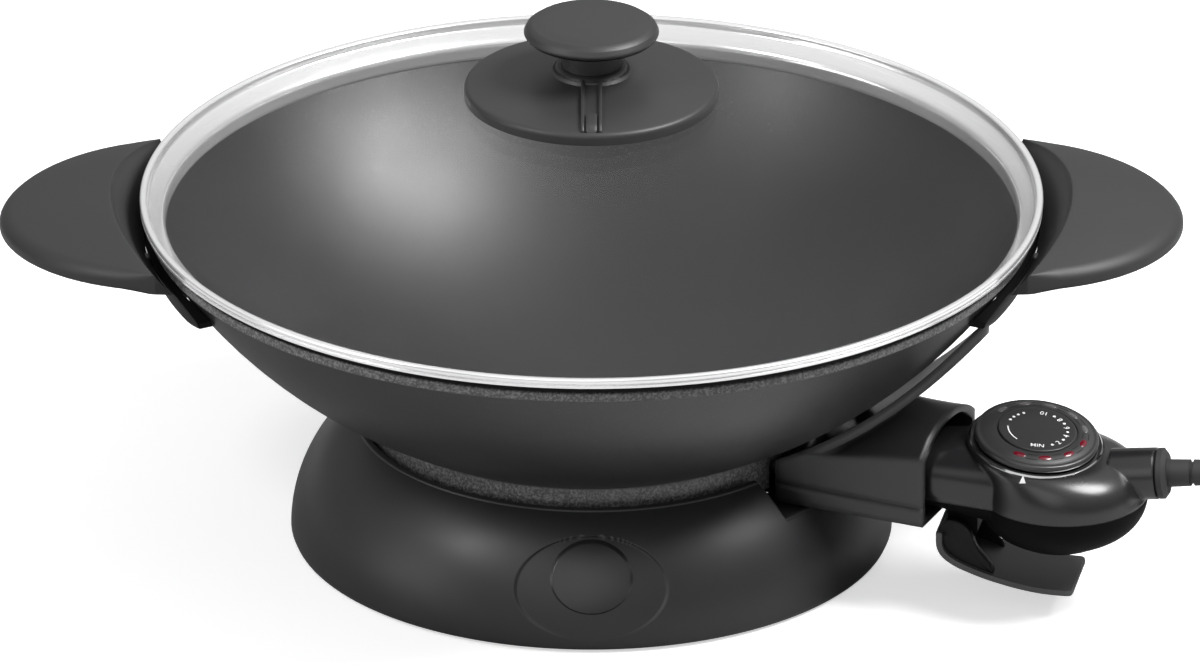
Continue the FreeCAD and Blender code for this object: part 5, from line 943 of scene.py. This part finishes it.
class WOK_OT_lever(bpy.types.Operator):
    """Release lever: a thin curved blade that hangs from two ears under the probe"""
    bl_idname = "wok.lever"
    bl_label = "Release lever"
    HALF, CORNER, THICK = 17.0, 3.0, 2.5
    EAR_IN, EAR_OUT = 11.0, 15.0

    def stations(self):
        """Points (u, z) along the blade, with each one's distance to the tip. The last few
        are crowded for the rounded corners."""
        line = soft_line([(-1.0, 33.5, 0), (-1.0, 25.5, 4.5), (5.5, 20.6, 4.0), (17.6, 16.1, 5.5),
                          (31.0, 12.9, 5.0), (41.2, 11.5, 5.0), (53.0, 11.4, 0)], 12)
        _, first = np.unique(line.round(4), axis=0, return_index=True)
        line = line[np.sort(first)]
        run = np.concatenate([[0], np.cumsum(np.linalg.norm(np.diff(line, axis=0), axis=1))])
        end = run[-1] - self.CORNER
        tip = end + self.CORNER * np.sin(np.linspace(0.1, QUARTER, 12))
        at = np.concatenate([np.linspace(0, end, 60), tip])
        return np.interp(at, run, line[:, 0]), np.interp(at, run, line[:, 1]), run[-1] - at

    def blade(self):
        """Flat section along the stations, its corners rounded and its tip thinned."""
        u, z, left = self.stations()
        into = self.CORNER - np.minimum(left, self.CORNER)
        half = self.HALF - self.CORNER + np.sqrt(self.CORNER ** 2 - into ** 2)
        thick = self.THICK / 2 * np.minimum(1.0, 0.35 + left)
        path = np.stack([u, 0 * u, z], 1)
        ahead = np.gradient(path, axis=0)
        ahead /= np.linalg.norm(ahead, axis=1, keepdims=True)
        across = np.array([0.0, 1.0, 0.0])
        up = np.cross(ahead, across)
        x, y = soft_line([(-1, -1, 0.06), (-1, 1, 0.06), (1, 1, 0.06), (1, -1, 0.06)], 6, True).T
        grid = (path[:, None] + (x * half[:, None])[:, :, None] * across
                + (y * thick[:, None])[:, :, None] * up[:, None])
        return closed_bar(moved(grid, GRIP))

    def ear(self, low, high):
        """Plate from low to high across the grip, a little smaller on its two faces."""
        outline = soft_line([(-1.4, 33.5, 0.8), (-1.4, 25.6, 1.5), (4.6, 20.9, 3.0),
                             (17.6, 16.6, 3.0), (21.0, 16.4, 1.0), (20.0, 19.8, 1.5),
                             (13.5, 27.5, 3.0), (10.8, 36.0, 3.0), (6.0, 38.4, 2.5),
                             (0.5, 38.4, 2.5)], 7, True)
        middle = outline.mean(0)
        y = np.array([low, low + 0.4, high - 0.4, high])[:, None]
        scale = np.array([0.95, 1.0, 1.0, 0.95])[:, None]
        x, z = (middle[k] + (outline[:, k] - middle[k]) * scale for k in (0, 1))
        return closed_bar(moved(np.stack([x, y + 0 * x, z], 2), GRIP))

    def execute(self, context):
        plastic = moulded("lever_plastic", (0.085, 0.085, 0.086), 0.45, 0.35, 0.05)
        # painted shade: the ears are a near-black copy of the lever plastic, filling the dark space
        # under the probe's neck
        dark = moulded("lever_ears_painted_shade", (0.006, 0.006, 0.006), 0.5, 0.35, 0.05, specular=0.2)
        ears = [self.ear(self.EAR_IN, self.EAR_OUT), self.ear(-self.EAR_OUT, -self.EAR_IN)]
        add_piece("lever_blade", [self.blade()], plastic, "lever", "lever_plastic", "release_lever")
        add_piece("lever_ears_painted_shade", ears, dark, "lever", "lever_plastic")
        return {"FINISHED"}


class WOK_OT_finishes(bpy.types.Operator):
    """Materials of the pieces that keep their CAD shape"""
    bl_idname = "wok.finishes"
    bl_label = "Finishes"

    def execute(self, context):
        looks = context.scene.wok_looks
        plain_steel = steel("steel_plain", (0.5, 0.5, 0.51), 0.3, 0.1)
        for material, *names in (
                (cast_coating("cast_coating", looks.cast), "wok_bowl"),
                (moulded("base_plastic", looks.base, 0.40, 0.4, 0.10), "base_cover"),
                (moulded("handle_plastic", looks.handle, 0.50, 0.3, 0.06), "knob_neck",
                 "vent_shutter"),
                (moulded("guard_plastic", (0.014, 0.014, 0.015), 0.34, 0.4, 0.04, specular=0.7,
                         edge=4.0), "probe_guard_upper", "probe_guard_lower"),
                (moulded("probe_plastic", looks.probe, 0.26, 0.6, 0.02, specular=0.6, edge=1.5),
                 "probe_shell_upper"),
                # painted shade: the lower shell is a near-black, almost shineless copy of the probe
                # plastic, for the probe's shaded underside
                (moulded("probe_under_painted_shade", (0.004, 0.004, 0.004), 0.55, 0.5, 0.02, specular=0.05,
                         edge=1.0), "probe_shell_lower"),
                (moulded("dial_plastic", (0.014, 0.014, 0.015), 0.38, 0.4, 0.05), "dial_shaft",
                 "lock_knob", "lock_hook"),
                (moulded("window_red", looks.windows, 0.25, 0.6, 0.02), "indicator_lamp"),
                (steel("steel_polished", (0.72, 0.72, 0.73), 0.12), "dial_trim"),
                (plain_steel, "cover_screws", "catch_screws", "lock_catch", "guard_screws",
                 "handle_screws", "knob_screw", "probe_screws"),
                (plain_steel, "terminal_plate", "terminal_pins", "heating_element", "sensor_rod",
                 "lever_pin", "lever_spring"),
                (moulded("rubber_black", (0.02, 0.02, 0.02), 0.6, 0.3, 0.05), "base_feet",
                 "knob_washer", "cord_bushing", "strain_relief"),
                (moulded("plug_body", (0.025, 0.025, 0.026), 0.45, 0.35, 0.05), "mains_plug",
                 "cord_tie", "thermostat_switch"),
                (steel("contact_brass", (0.75, 0.6, 0.32), 0.25), "contact_sockets", "plug_pins"),
                (moulded("insulator", (0.75, 0.72, 0.66), 0.6, 0.5, 0.1), "terminal_beads",
                 "probe_nose")):
            dress(material, *names)
        return {"FINISHED"}


class WOK_PT_panel(bpy.types.Panel):
    """Lists the wok's pieces and its sizes and colours"""
    bl_label = "Wok"
    bl_idname = "WOK_PT_panel"
    bl_space_type = "VIEW_3D"
    bl_region_type = "UI"
    bl_category = "Wok"

    def draw(self, context):
        for group in (context.scene.wok_looks, context.scene.wok_sizes):
            for key in group.__annotations__:
                self.layout.prop(group, key)
        for operator in OPERATORS:
            self.layout.operator(operator.bl_idname)


OPERATORS = (WOK_OT_stage, WOK_OT_cord, WOK_OT_finishes, WOK_OT_lid, WOK_OT_knob, WOK_OT_handles,
             WOK_OT_base, WOK_OT_dial, WOK_OT_lever)
CLASSES = (WokLooks, WokSizes, WOK_PT_panel) + OPERATORS


def register():
    for each in CLASSES:
        bpy.utils.register_class(each)
    bpy.types.Scene.wok_looks = PointerProperty(type=WokLooks)
    bpy.types.Scene.wok_sizes = PointerProperty(type=WokSizes)


def unregister():
    del bpy.types.Scene.wok_looks
    del bpy.types.Scene.wok_sizes
    for each in reversed(CLASSES):
        bpy.utils.unregister_class(each)


def main():
    register()
    for operator in OPERATORS:
        group, name = operator.bl_idname.split(".")
        getattr(getattr(bpy.ops, group), name)()
    bpy.context.view_layer.update()
    seen = [list(map(float, corner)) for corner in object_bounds()]


if __name__ == "__main__":
    main()
